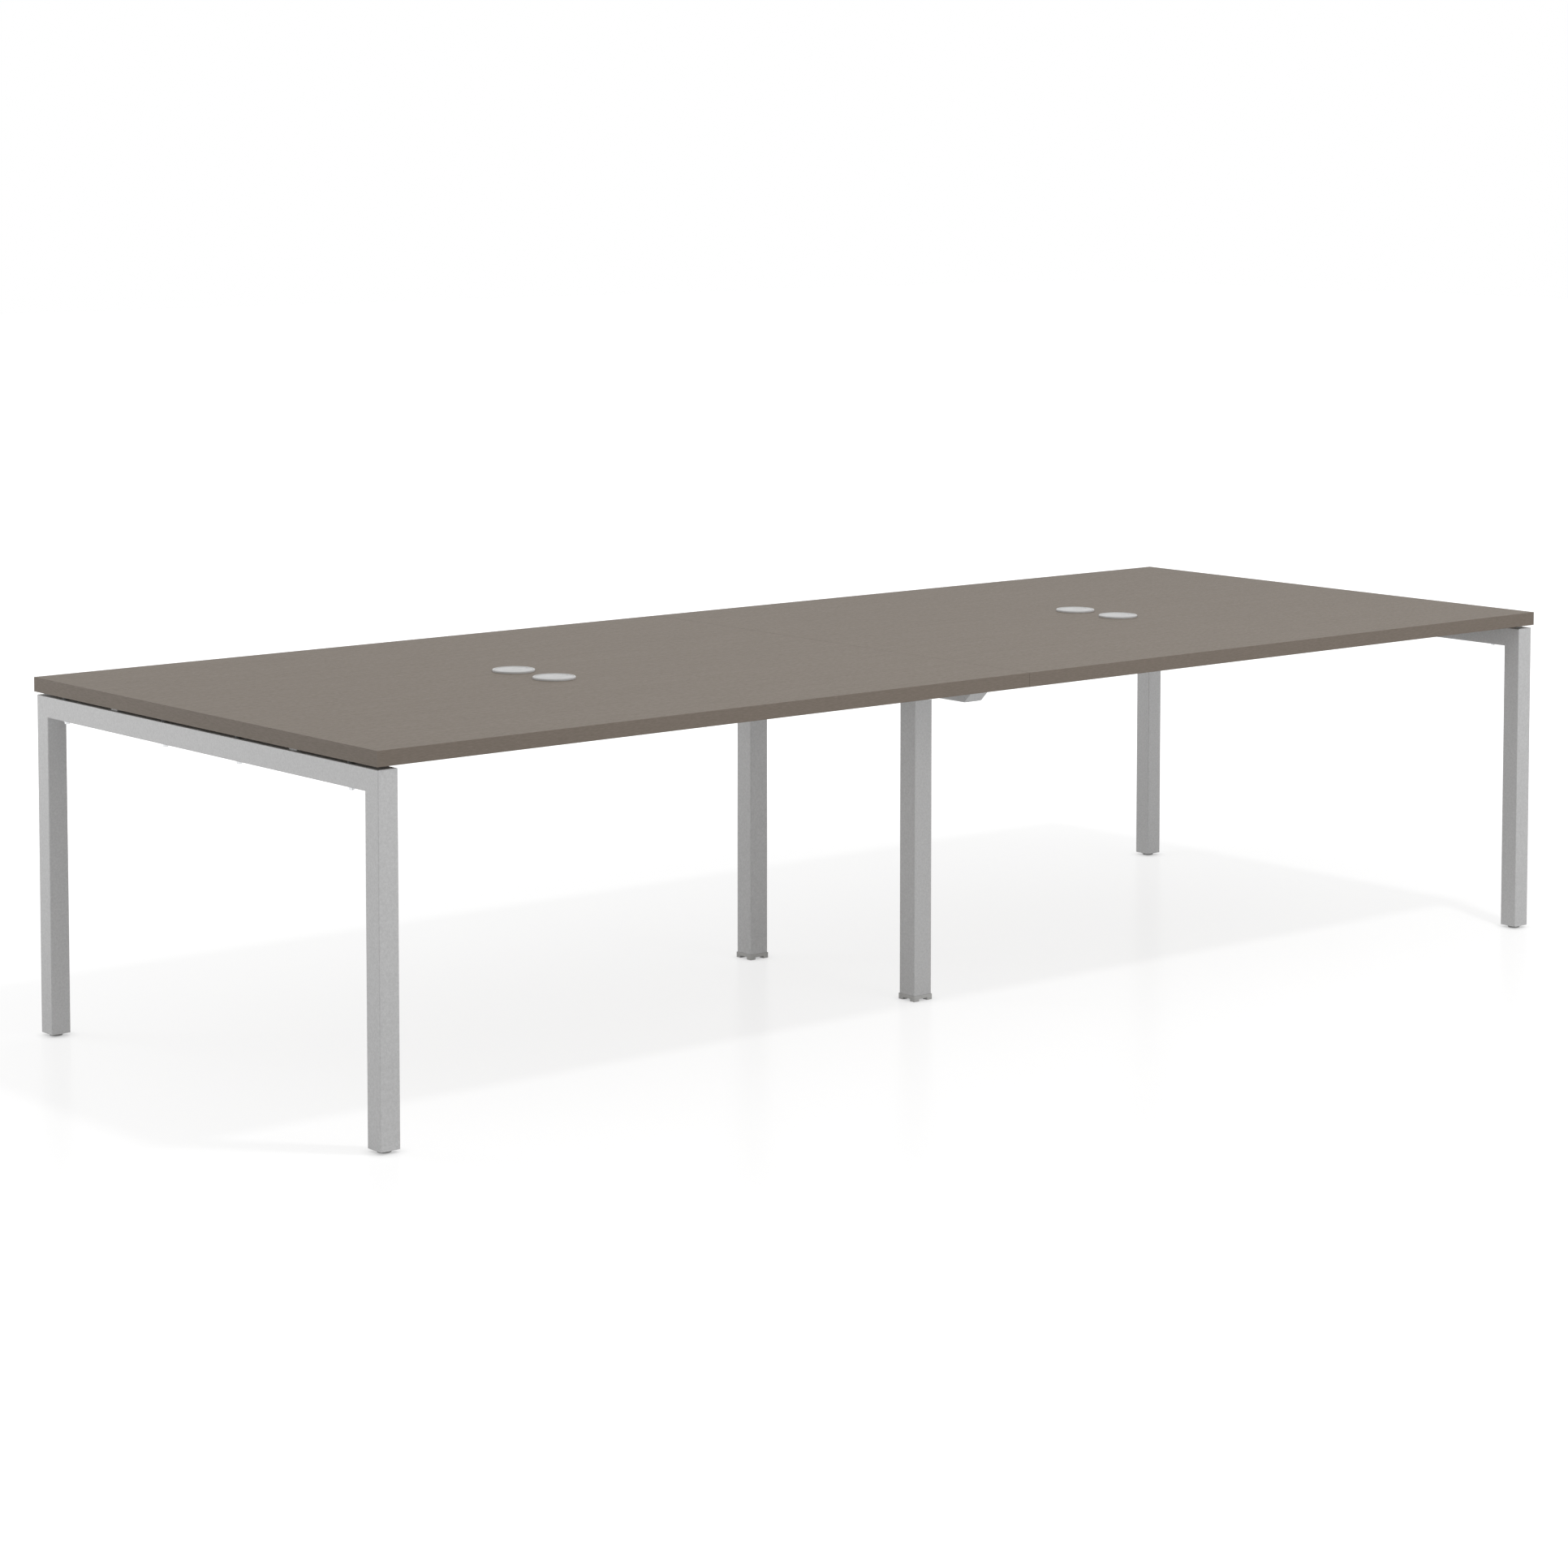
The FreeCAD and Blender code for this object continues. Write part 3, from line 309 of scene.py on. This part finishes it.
edging, tree, place = new_material("abs_edging_wood_print")
edge_place = add_node(tree, "ShaderNodeMapping",
                      {"Vector": place, "Scale": (1 / EDGE_LONG, 1 / EDGE_LONG, 1 / EDGE_WIDE)})
edge_streaks = add_node(tree, "ShaderNodeTexNoise",
                        {"Vector": edge_place.outputs[0], "Scale": 1.0, "Detail": 3.0})
edge_range = add_node(tree, "ShaderNodeMapRange",
                      {"Value": edge_streaks.outputs["Fac"], "From Min": NOISE_LOW, "From Max": NOISE_HIGH})
edge_colour = add_node(tree, "ShaderNodeMix", {0: edge_range.outputs[0], MIX_A: linear(EDGE_BROWN),
                                               MIX_B: linear(EDGE_PALE)}, data_type="RGBA")
edge_bump = add_node(tree, "ShaderNodeBump",
                     {"Height": edge_streaks.outputs["Fac"], "Strength": EDGE_BUMP, "Distance": EDGE_DEPTH})
edge_roughness = add_node(tree, "ShaderNodeMapRange",
                          {"Value": edge_streaks.outputs["Fac"], "To Min": EDGE_ROUGHEST,
                           "To Max": EDGE_SMOOTHEST})
strip = add_node(tree, "ShaderNodeBsdfPrincipled",
                 {"Base Color": edge_colour.outputs[MIX_RESULT], "Roughness": edge_roughness.outputs[0],
                  "IOR": PLASTIC_IOR, "Specular IOR Level": EDGE_SHEEN, "Normal": edge_bump.outputs[0]})
add_node(tree, "ShaderNodeOutputMaterial", {"Surface": strip.outputs[0]})
print("edging pores", EDGE_LONG / MM, "by", EDGE_WIDE / MM, "mm")

# %% [markdown]
# The frame is mild steel tube under a silver-grey powder coat. Powder coat is baked paint: it has a soft
# sheen, a faint orange-peel surface, and in a silver grade fine metal flakes that sparkle light and dark.
# The flakes are far under a millimetre, so the largest are drawn about 4.5 mm wide to show at all, with
# finer ones among them. A little metallic gives the coat its silver look without making it a mirror.

# %% Silver powder coat
FLAKE = 4.5 * MM
PEEL = 4 * MM
PEEL_BUMP = 0.08
PEEL_DEPTH = 0.3 * MM
FLAKE_DARK = "#bfbfbf"
FLAKE_BRIGHT = "#d2d2d2"
FLAKE_FINER_SHARE = 0.7
SILVER = 0.25
COAT_SMOOTHEST = 0.42
COAT_ROUGHEST = 0.54

powder_coat, tree, place = new_material("silver_powder_coat_on_steel")
flakes = add_node(tree, "ShaderNodeTexNoise",
                  {"Vector": place, "Scale": 1 / FLAKE, "Detail": 5.0, "Roughness": FLAKE_FINER_SHARE})
flake_range = add_node(tree, "ShaderNodeMapRange",
                       {"Value": flakes.outputs["Fac"], "From Min": NOISE_LOW, "From Max": NOISE_HIGH})
coat_colour = add_node(tree, "ShaderNodeMix", {0: flake_range.outputs[0], MIX_A: linear(FLAKE_DARK),
                                               MIX_B: linear(FLAKE_BRIGHT)}, data_type="RGBA")
peel = add_node(tree, "ShaderNodeTexNoise", {"Vector": place, "Scale": 1 / PEEL, "Detail": 1.0})
peel_bump = add_node(tree, "ShaderNodeBump",
                     {"Height": peel.outputs["Fac"], "Strength": PEEL_BUMP, "Distance": PEEL_DEPTH})
coat_roughness = add_node(tree, "ShaderNodeMapRange",
                          {"Value": flakes.outputs["Fac"], "To Min": COAT_SMOOTHEST,
                           "To Max": COAT_ROUGHEST})
coat = add_node(tree, "ShaderNodeBsdfPrincipled",
                {"Base Color": coat_colour.outputs[MIX_RESULT], "Metallic": SILVER,
                 "Roughness": coat_roughness.outputs[0], "Normal": peel_bump.outputs[0]})
add_node(tree, "ShaderNodeOutputMaterial", {"Surface": coat.outputs[0]})
print("flakes drawn", FLAKE / MM, "mm wide")

# %% [markdown]
# Four plastics remain. The cable outlets are ABS moulded in pale grey with a satin surface. The boots on
# the middle legs are polypropylene in the frame's grey. The glides under the end legs are light grey
# polyamide. The plugs inside the legs and the spacers round the rail screws are near black. On the plugs
# this is black polypropylene. On the spacers it is partly their own black and partly painted shade: the
# dark marks in the slot between rail and worktop beside each screw. All come from a mould with a fine
# spark-eroded grain, which breaks up the gloss. They differ only in colour, grain and gloss, so one
# function makes them, and each call names its plastic.

# %% Moulded plastics
PIT_BUMP = 0.1
PIT_DEPTH = 0.1 * MM
CLOUD_PITS = 20
ROUGHNESS_SPREAD = 0.06


def moulded_plastic(name, dark, light, pit_width, roughness):
    """A plastic with the fine grain of its mould, in two near tones, its gloss broken up by the grain."""
    material, tree, place = new_material(name)
    pits = add_node(tree, "ShaderNodeTexNoise", {"Vector": place, "Scale": 1 / pit_width, "Detail": 2.0})
    clouds = add_node(tree, "ShaderNodeTexNoise",
                      {"Vector": place, "Scale": 1 / (pit_width * CLOUD_PITS), "Detail": 1.0})
    tone = add_node(tree, "ShaderNodeMix",
                    {0: clouds.outputs["Fac"], MIX_A: linear(dark), MIX_B: linear(light)}, data_type="RGBA")
    bump = add_node(tree, "ShaderNodeBump",
                    {"Height": pits.outputs["Fac"], "Strength": PIT_BUMP, "Distance": PIT_DEPTH})
    shine = add_node(tree, "ShaderNodeMapRange",
                     {"Value": pits.outputs["Fac"], "To Min": roughness + ROUGHNESS_SPREAD,
                      "To Max": roughness - ROUGHNESS_SPREAD})
    surface = add_node(tree, "ShaderNodeBsdfPrincipled",
                       {"Base Color": tone.outputs[MIX_RESULT], "Roughness": shine.outputs[0],
                        "IOR": PLASTIC_IOR, "Normal": bump.outputs[0]})
    add_node(tree, "ShaderNodeOutputMaterial", {"Surface": surface.outputs[0]})
    return material


outlet_abs = moulded_plastic("satin_grey_abs", "#c6c6c5", "#d3d3d2", pit_width=0.6 * MM, roughness=0.3)
boot_plastic = moulded_plastic("grey_polypropylene", "#cdcdcb", "#d4d4d2", pit_width=0.8 * MM, roughness=0.5)
glide_plastic = moulded_plastic("light_grey_polyamide", "#c4c4c2", "#cbcbc9", pit_width=0.8 * MM,
                                roughness=0.45)
# Near black: the hidden plugs' own colour, and on the spacers round the rail screws partly painted shade for
# the dark slot beside each screw
plug_plastic = moulded_plastic("black_plugs_and_painted_slot_shade", "#101010", "#161616", pit_width=0.8 * MM, roughness=0.5)
print("four plastics")

# %% [markdown]
# Screws, nuts, stems and inserts are steel with a bright zinc plating. Zinc is a metal, so its colour is
# the colour of its reflections, and slight clouds in its roughness show where the plating took.

# %% Zinc plating
CLOUD = 5 * MM
ZINC_DARK = "#e0e2e4"
ZINC_BRIGHT = "#eeeff0"
ZINC_SMOOTHEST = 0.2
ZINC_ROUGHEST = 0.34

zinc, tree, place = new_material("zinc_plated_steel")
clouds = add_node(tree, "ShaderNodeTexNoise", {"Vector": place, "Scale": 1 / CLOUD, "Detail": 3.0})
zinc_colour = add_node(tree, "ShaderNodeMix", {0: clouds.outputs["Fac"], MIX_A: linear(ZINC_DARK),
                                               MIX_B: linear(ZINC_BRIGHT)}, data_type="RGBA")
zinc_roughness = add_node(tree, "ShaderNodeMapRange",
                          {"Value": clouds.outputs["Fac"], "To Min": ZINC_SMOOTHEST,
                           "To Max": ZINC_ROUGHEST})
plating = add_node(tree, "ShaderNodeBsdfPrincipled",
                   {"Base Color": zinc_colour.outputs[MIX_RESULT], "Metallic": 1.0,
                    "Roughness": zinc_roughness.outputs[0]})
add_node(tree, "ShaderNodeOutputMaterial", {"Surface": plating.outputs[0]})
print("zinc clouds", CLOUD / MM, "mm wide")

# %% [markdown]
# The CAD model names a material slot for each of its nodes. A table from slot to finish dresses all the
# nodes in one loop. The nodes' shapes and places stay as they are, and only their materials change.

# %% Finishes for the CAD nodes
FINISHES = {"laminate": melamine, "edging": edging, "frame_coat": powder_coat, "outlet_plastic": outlet_abs,
            "boot_plastic": boot_plastic, "glide_plastic": glide_plastic, "plug_plastic": plug_plastic,
            "zinc_steel": zinc}
for entry in frame["record"]["subparts"]:
    finish = FINISHES[entry["material_slot"]]
    for slot in nodes[entry["node"]].material_slots:
        slot.material = finish

# %% [markdown]
# The CAD nodes give the desk its true shapes, but their small round pieces have sharp edges. The next
# cells model those pieces again by hand, as moulded, pressed and turned parts with rounded edges. A few
# helpers do what a hand does over and over: turn a shape on a lathe, add a block, pick edges by where they
# lie, cut one shape out of another, and copy a finished piece to its other places. All their sizes are
# given in millimetres.

# %% Helpers for modelling
MERGE_WITHIN = 0.001 * MM
ON_RING = 0.01
SHARP_ANGLE = math.radians(40)
SMOOTH_ANGLE = math.radians(35)


def only(piece):
    """Leaves object mode on, and this piece alone selected and active."""
    if bpy.context.object and bpy.context.object.mode != "OBJECT":
        bpy.ops.object.mode_set(mode="OBJECT")
    bpy.ops.object.select_all(action="DESELECT")
    bpy.context.view_layer.objects.active = piece
    if piece:
        piece.select_set(True)


def turned(name, rings, sides=72):
    """A piece turned on a lathe. A circle is drawn out ring by ring, each ring a radius and a height."""
    only(None)
    radius, height = rings[0]
    bpy.ops.mesh.primitive_circle_add(vertices=sides, radius=radius * MM, location=(0, 0, 0))
    piece = bpy.context.object
    piece.name = name
    bpy.ops.object.mode_set(mode="EDIT")
    bpy.ops.mesh.select_mode(type="EDGE")
    bpy.ops.mesh.select_all(action="SELECT")
    bpy.ops.transform.translate(value=(0, 0, height * MM))
    for (before, low), (after, high) in zip(rings, rings[1:]):
        bpy.ops.mesh.extrude_region_move(TRANSFORM_OT_translate={"value": (0, 0, (high - low) * MM)})
        bpy.ops.transform.resize(value=(after / before, after / before, 1))
    bpy.ops.mesh.select_all(action="SELECT")
    bpy.ops.mesh.remove_doubles(threshold=MERGE_WITHIN)
    bpy.ops.mesh.fill_holes(sides=0)
    bpy.ops.mesh.normals_make_consistent(inside=False)
    bpy.ops.object.mode_set(mode="OBJECT")
    return piece


def block(name, low, high):
    """A block between two corners, with its place and size in its mesh."""
    only(None)
    bpy.ops.mesh.primitive_cube_add(size=1, location=[(a + b) / 2 * MM for a, b in zip(low, high)])
    piece = bpy.context.object
    piece.name = name
    piece.scale = [(b - a) * MM for a, b in zip(low, high)]
    bpy.ops.object.transform_apply(location=True, rotation=False, scale=True)
    return piece


def pick_edges(piece, test):
    """Selects, in edit mode, the edges whose two ends pass a test on their places in millimetres."""
    only(piece)
    bpy.ops.object.mode_set(mode="EDIT")
    bpy.ops.mesh.select_mode(type="EDGE")
    bpy.ops.mesh.select_all(action="DESELECT")
    bpy.ops.object.mode_set(mode="OBJECT")
    places = [point.co / MM for point in piece.data.vertices]
    for edge in piece.data.edges:
        edge.select = test(*[places[number] for number in edge.vertices])
    bpy.ops.object.mode_set(mode="EDIT")


def round_ring(piece, radius, height, width, segments=3):
    """Rounds the sharp ring of a turned piece that has this radius and height."""
    def on_ring(point):
        return abs(point.xy.length - radius) < ON_RING and abs(point.z - height) < ON_RING

    pick_edges(piece, lambda a, b: on_ring(a) and on_ring(b))
    bpy.ops.mesh.bevel(offset=width * MM, segments=segments)
    bpy.ops.object.mode_set(mode="OBJECT")


def combine(piece, other, operation):
    """Cuts the other shape out of the piece, or joins it on, and takes the other shape away."""
    only(piece)
    step = piece.modifiers.new("combine", "BOOLEAN")
    step.operation = operation
    step.solver = "EXACT"
    step.object = other
    bpy.ops.object.modifier_apply(modifier=step.name)
    bpy.data.objects.remove(other)


def soften(piece, width, segments=2):
    """Rounds every sharp edge of a piece by a small width and smooths the shading between them."""
    only(piece)
    step = piece.modifiers.new("soften", "BEVEL")
    step.width = width * MM
    step.segments = segments
    step.limit_method = "ANGLE"
    step.angle_limit = SHARP_ANGLE
    bpy.ops.object.modifier_apply(modifier=step.name)
    bpy.ops.object.shade_smooth_by_angle(angle=SMOOTH_ANGLE)


def copy_to(piece, name, place):
    """A copy with its own mesh, moved to a place."""
    only(piece)
    bpy.ops.object.duplicate(linked=False)
    made = bpy.context.object
    made.name = name
    made.location = [step * MM for step in place]
    bpy.ops.object.transform_apply(location=True, rotation=False, scale=False)
    return made


def stand_for(piece, node, body, slot):
    """Gives a finished piece its finish, and lets it take the CAD node's place on its body."""
    piece.data.materials.clear()
    piece.data.materials.append(FINISHES[slot])
    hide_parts(node)
    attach(piece, body)


def drop(piece):
    """Takes away a pattern piece once all its copies are made."""
    bpy.data.objects.remove(piece)


ENDS = ((-1, "left"), (1, "right"))
SIDES = ((-1, "front"), (1, "back"))
CORNERS = [(end, side, end_word + "_" + side_word) for end, end_word in ENDS for side, side_word in SIDES]
print(len(CORNERS), "corners:", [name for _, _, name in CORNERS])

# %% [markdown]
# Each cable outlet starts with a liner: a moulded sleeve pushed into a hole in the worktop, with a flange
# that covers the hole's edge and a step inside it on which the lid lies. It is round all over, so turning
# is the natural way to make it. The flange's outer edge has a wide rounding, the one that catches the
# light in the photograph, and its inner edge a small one.

# %% Outlet liners
WORKTOP_TOP = 736.6
OUTLET_X = 800.25
OUTLET_Y = 70
RIM = 44.0
RIM_TOP = 4.6
SEAT = 39.5
BORE = 37.7
SLEEVE = 39.7
SLEEVE_FOOT = -26.0
SEAT_HEIGHT = 1.0
RIM_ROUND = 1.8
SEAT_ROUND = 0.5
LINER_EDGE = 0.3

liner = turned("outlet_liner", [(SLEEVE, SLEEVE_FOOT), (SLEEVE, 0), (RIM, 0), (RIM, RIM_TOP), (SEAT, RIM_TOP),
                                (SEAT, SEAT_HEIGHT), (BORE, SEAT_HEIGHT), (BORE, SLEEVE_FOOT),
                                (SLEEVE, SLEEVE_FOOT)])
round_ring(liner, RIM, RIM_TOP, RIM_ROUND, segments=6)
round_ring(liner, SEAT, RIM_TOP, SEAT_ROUND)
soften(liner, LINER_EDGE)


def outlet_place(end, side):
    """The middle of one outlet, on the worktop's face."""
    return (end * OUTLET_X, side * OUTLET_Y, WORKTOP_TOP)


for end, side, corner in CORNERS:
    piece = copy_to(liner, corner + "_liner", outlet_place(end, side))
    stand_for(piece, corner + "_outlet_liner", "desk", "outlet_plastic")
print("liner faces", len(liner.data.polygons))
drop(liner)

# %% [markdown]
# The lid drops into the liner. A short skirt under it keeps it in the middle. One side has a slot for
# cables, closed by a flap, with a shallow thumb nick beside the flap's free edge and a small ledge
# underneath that stops the flap level with the lid. The round part is turned, and the slot and the nick
# are cut out of it with Boolean modifiers.

# %% Outlet lids
LID = 39.2
LID_TOP = 4.0
SKIRT = 37.4
SKIRT_BORE = 35.4
SKIRT_FOOT = -2.5
SLOT_NEAR = 7.0
SLOT_FAR = 30.4
SLOT_HALF = 15.0
NICK = 4.0
NICK_FLOOR = 2.5
# A shape that cuts goes this far past the face it cuts through
PAST = 3.0
LEDGE_REACH = 2.5
LEDGE_ROOT = 2.0
LEDGE_HALF = 6.0
LEDGE_THICKNESS = 1.5
LEDGE_GAP = 0.1
# The ledge hangs on a root, narrower by the inset, that goes as far as the bite above and below the
# lid's underside
ROOT_INSET = 0.2
ROOT_BITE = 0.5
LID_ROUND = 0.6
LID_EDGE = 0.2

lid = turned("outlet_lid", [(SKIRT_BORE, SEAT_HEIGHT), (SKIRT_BORE, SKIRT_FOOT), (SKIRT, SKIRT_FOOT),
                            (SKIRT, SEAT_HEIGHT), (LID, SEAT_HEIGHT), (LID, LID_TOP)])
round_ring(lid, LID, LID_TOP, LID_ROUND)
slot_shape = block("slot_shape", (SLOT_NEAR, -SLOT_HALF, -PAST), (SLOT_FAR, SLOT_HALF, LID_TOP + PAST))
combine(lid, slot_shape, "DIFFERENCE")
nick_shape = turned("nick_shape", [(NICK, NICK_FLOOR), (NICK, LID_TOP + PAST)], sides=32)
nick_shape.location.x = SLOT_FAR * MM
combine(lid, nick_shape, "DIFFERENCE")
ledge_top = SEAT_HEIGHT - LEDGE_GAP
ledge_far = SLOT_FAR + LEDGE_ROOT
ledge = block("ledge", (SLOT_FAR - LEDGE_REACH, -LEDGE_HALF, ledge_top - LEDGE_THICKNESS),
              (ledge_far, LEDGE_HALF, ledge_top))
root_half = LEDGE_HALF - ROOT_INSET
ledge_root = block("ledge_root", (SLOT_FAR + ROOT_INSET, -root_half, SEAT_HEIGHT - ROOT_BITE),
                   (ledge_far - ROOT_INSET, root_half, SEAT_HEIGHT + ROOT_BITE))
combine(ledge, ledge_root, "UNION")
combine(lid, ledge, "UNION")
soften(lid, LID_EDGE)
for end, side, corner in CORNERS:
    piece = copy_to(lid, corner + "_lid_piece", outlet_place(end, side))
    stand_for(piece, corner + "_outlet_lid", corner + "_lid", "outlet_plastic")
print("lid faces", len(lid.data.polygons))
drop(lid)

# %% [markdown]
# The flap is a small plate with one edge rounded to a full half circle, which is its hinge barrel. Two
# pins stand out of the barrel's ends and turn in the lid. A block makes the plate, a bevel as wide as half
# its thickness makes the barrel, and a turned rod, laid down along Y, is joined on for the pins.

# %% Outlet flaps
AXIS_X = 8.8
AXIS_Z = 2.5
BARREL = 1.5
PIN = 0.7
FLAP_FAR = 30.1
FLAP_HALF = 14.7
PIN_END = 16.6
# The barrel's two roundings stop this short of each other
BARREL_SHY = 0.02
FLAP_EDGE = 0.2

flap = block("outlet_flap", (AXIS_X - BARREL, -FLAP_HALF, SEAT_HEIGHT), (FLAP_FAR, FLAP_HALF, LID_TOP))
pick_edges(flap, lambda a, b: a.x < AXIS_X and b.x < AXIS_X and abs(a.y - b.y) > FLAP_HALF)
bpy.ops.mesh.bevel(offset=(BARREL - BARREL_SHY) * MM, segments=8)
soften(flap, FLAP_EDGE)
pins = turned("pins", [(PIN, -PIN_END), (PIN, PIN_END)], sides=24)
pins.rotation_euler.x = math.radians(90)
pins.location = (AXIS_X * MM, 0, AXIS_Z * MM)
only(pins)
bpy.ops.object.transform_apply(location=True, rotation=True, scale=False)
combine(flap, pins, "UNION")
for end, side, corner in CORNERS:
    piece = copy_to(flap, corner + "_flap_piece", outlet_place(end, side))
    stand_for(piece, corner + "_outlet_flap", corner + "_flap", "outlet_plastic")
print("flap faces", len(flap.data.polygons))
drop(flap)

# %% [markdown]
# A boot closes the foot of each middle leg. Its thin skirt stands round the tube's outside, a spigot fills
# the tube's inside, and a notch in each side lets a spanner reach the levelling bolt. It starts as a
# block: two insets draw the skirt and the spigot on the top face, the ring between them is pushed down as
# the groove for the tube, and the upright corners get a bevel. Two crossed bars cut the notches.

# %% Boots of the middle legs
MIDDLE_Y = 273.5
BOOT_HALF = 25.3
BOOT_TOP = 12.0
SKIRT_WALL = 1.2
TUBE_ROOM = 2.2
GROOVE_FLOOR = 7.0
NOTCH_HALF = 11.5
NOTCH_TOP = 5.0
STEM_HOLE = 4.5
CORNER_SHARE = 0.9
BOOT_EDGE = 0.35
FACING_UP = 0.9
AT_THE_AXIS = 1.0


def pick_top(piece, nearest, farthest):
    """Selects, in edit mode, the top faces whose middle lies between two distances from the upright axis."""
    only(piece)
    bpy.ops.object.mode_set(mode="EDIT")
    bpy.ops.mesh.select_mode(type="FACE")
    bpy.ops.mesh.select_all(action="DESELECT")
    bpy.ops.object.mode_set(mode="OBJECT")
    for face in piece.data.polygons:
        distance = max(abs(face.center.x), abs(face.center.y)) / MM
        face.select = face.normal.z > FACING_UP and nearest <= distance < farthest
    bpy.ops.object.mode_set(mode="EDIT")


boot = block("boot", (-BOOT_HALF, -BOOT_HALF, 0), (BOOT_HALF, BOOT_HALF, BOOT_TOP))
for width in (SKIRT_WALL, TUBE_ROOM):
    pick_top(boot, 0, AT_THE_AXIS)
    bpy.ops.mesh.inset(thickness=width * MM)
pick_top(boot, BOOT_HALF - SKIRT_WALL - TUBE_ROOM, BOOT_HALF - SKIRT_WALL)
bpy.ops.mesh.extrude_region_move(TRANSFORM_OT_translate={"value": (0, 0, (GROOVE_FLOOR - BOOT_TOP) * MM)})
pick_edges(boot, lambda a, b: abs(a.z - b.z) > GROOVE_FLOOR)
bpy.ops.mesh.bevel(offset=SKIRT_WALL * CORNER_SHARE * MM, segments=4)
stem_room = turned("stem_room", [(STEM_HOLE, -PAST), (STEM_HOLE, BOOT_TOP + PAST)], sides=32)
combine(boot, stem_room, "DIFFERENCE")
bar_reach = BOOT_HALF + PAST
bar_along_x = block("bar_along_x", (-bar_reach, -NOTCH_HALF, -PAST), (bar_reach, NOTCH_HALF, NOTCH_TOP))
bar_along_y = block("bar_along_y", (-NOTCH_HALF, -bar_reach, -PAST), (NOTCH_HALF, bar_reach, NOTCH_TOP))
combine(bar_along_x, bar_along_y, "UNION")
combine(boot, bar_along_x, "DIFFERENCE")
soften(boot, BOOT_EDGE)
for side, side_word in SIDES:
    piece = copy_to(boot, "middle_" + side_word + "_boot_piece", (0, side * MIDDLE_Y, 0))
    stand_for(piece, "middle_" + side_word + "_boot", "desk", "boot_plastic")
print("boot faces", len(boot.data.polygons))
drop(boot)

# %% [markdown]
# The end legs stand on levelling glides: a round plastic pad, moulded on to the head of a threaded stem
# that turns in the leg. The pad is turned. Its lower edge has a wide rounding so that it slides without
# catching, and its upper edge a smaller one.

# %% Glide pads
LEG_X = 1574.7
LEG_Y = 596.8
PAD = 13.3
PAD_TOP = 6.0
PAD_HOLE = 4.08
PAD_FLOOR = 3.0
PAD_LOWER_ROUND = 1.2
PAD_UPPER_ROUND = 0.8
PAD_EDGE = 0.15

pad = turned("glide_pad", [(PAD, 0), (PAD, PAD_TOP), (PAD_HOLE, PAD_TOP), (PAD_HOLE, PAD_FLOOR)])
round_ring(pad, PAD, 0, PAD_LOWER_ROUND, segments=5)
round_ring(pad, PAD, PAD_TOP, PAD_UPPER_ROUND, segments=4)
soften(pad, PAD_EDGE)
for end, side, corner in CORNERS:
    piece = copy_to(pad, corner + "_pad_piece", (end * LEG_X, side * LEG_Y, 0))
    stand_for(piece, corner + "_glide_pad", corner + "_foot", "glide_plastic")
print("pad faces", len(pad.data.polygons))
drop(pad)

# %% [markdown]
# Bright screws hold the worktops down. They go up through the end rails, and their flanged heads show
# under the rail as small white glints. A screw is turned, with a six-sided socket for the key cut into its
# head. It is modelled once with its flange's face at height 0, copied to the four places on each rail, and
# the four copies are joined.

# %% Rail screws
RAIL_BOTTOM = 657.6
SCREW_X = 1584.7
SCREW_YS = (-516, -134, 134, 516)
SHANK = 3.0
SHANK_TOP = 65.0
FLANGE = 7.5
FLANGE_UNDER = -1.6
HEAD = 6.0
HEAD_FOOT = 5.2
HEAD_UNDER = -6.6
KEY_CORNER = 2.89
KEY_DEPTH = 2.5
HEAD_ROUND = 1.0
SCREW_EDGE = 0.25

screw = turned("rail_screw", [(HEAD_FOOT, HEAD_UNDER), (HEAD, FLANGE_UNDER), (FLANGE, FLANGE_UNDER),
                              (FLANGE, 0), (SHANK, 0), (SHANK, SHANK_TOP)], sides=40)
round_ring(screw, HEAD_FOOT, HEAD_UNDER, HEAD_ROUND, segments=4)
key_room = turned("key_room", [(KEY_CORNER, HEAD_UNDER - PAST), (KEY_CORNER, HEAD_UNDER + KEY_DEPTH)],
                  sides=6)
combine(screw, key_room, "DIFFERENCE")
soften(screw, SCREW_EDGE)
for end, end_word in ENDS:
    row = [copy_to(screw, end_word + "_screw", (end * SCREW_X, y, RAIL_BOTTOM)) for y in SCREW_YS]
    only(row[0])
    for piece in row:
        piece.select_set(True)
    bpy.ops.object.join()
    row[0].name = end_word + "_rail_screw_row"
    stand_for(row[0], end_word + "_rail_screws", "desk", "zinc_steel")
print("screw faces", len(screw.data.polygons))
drop(screw)
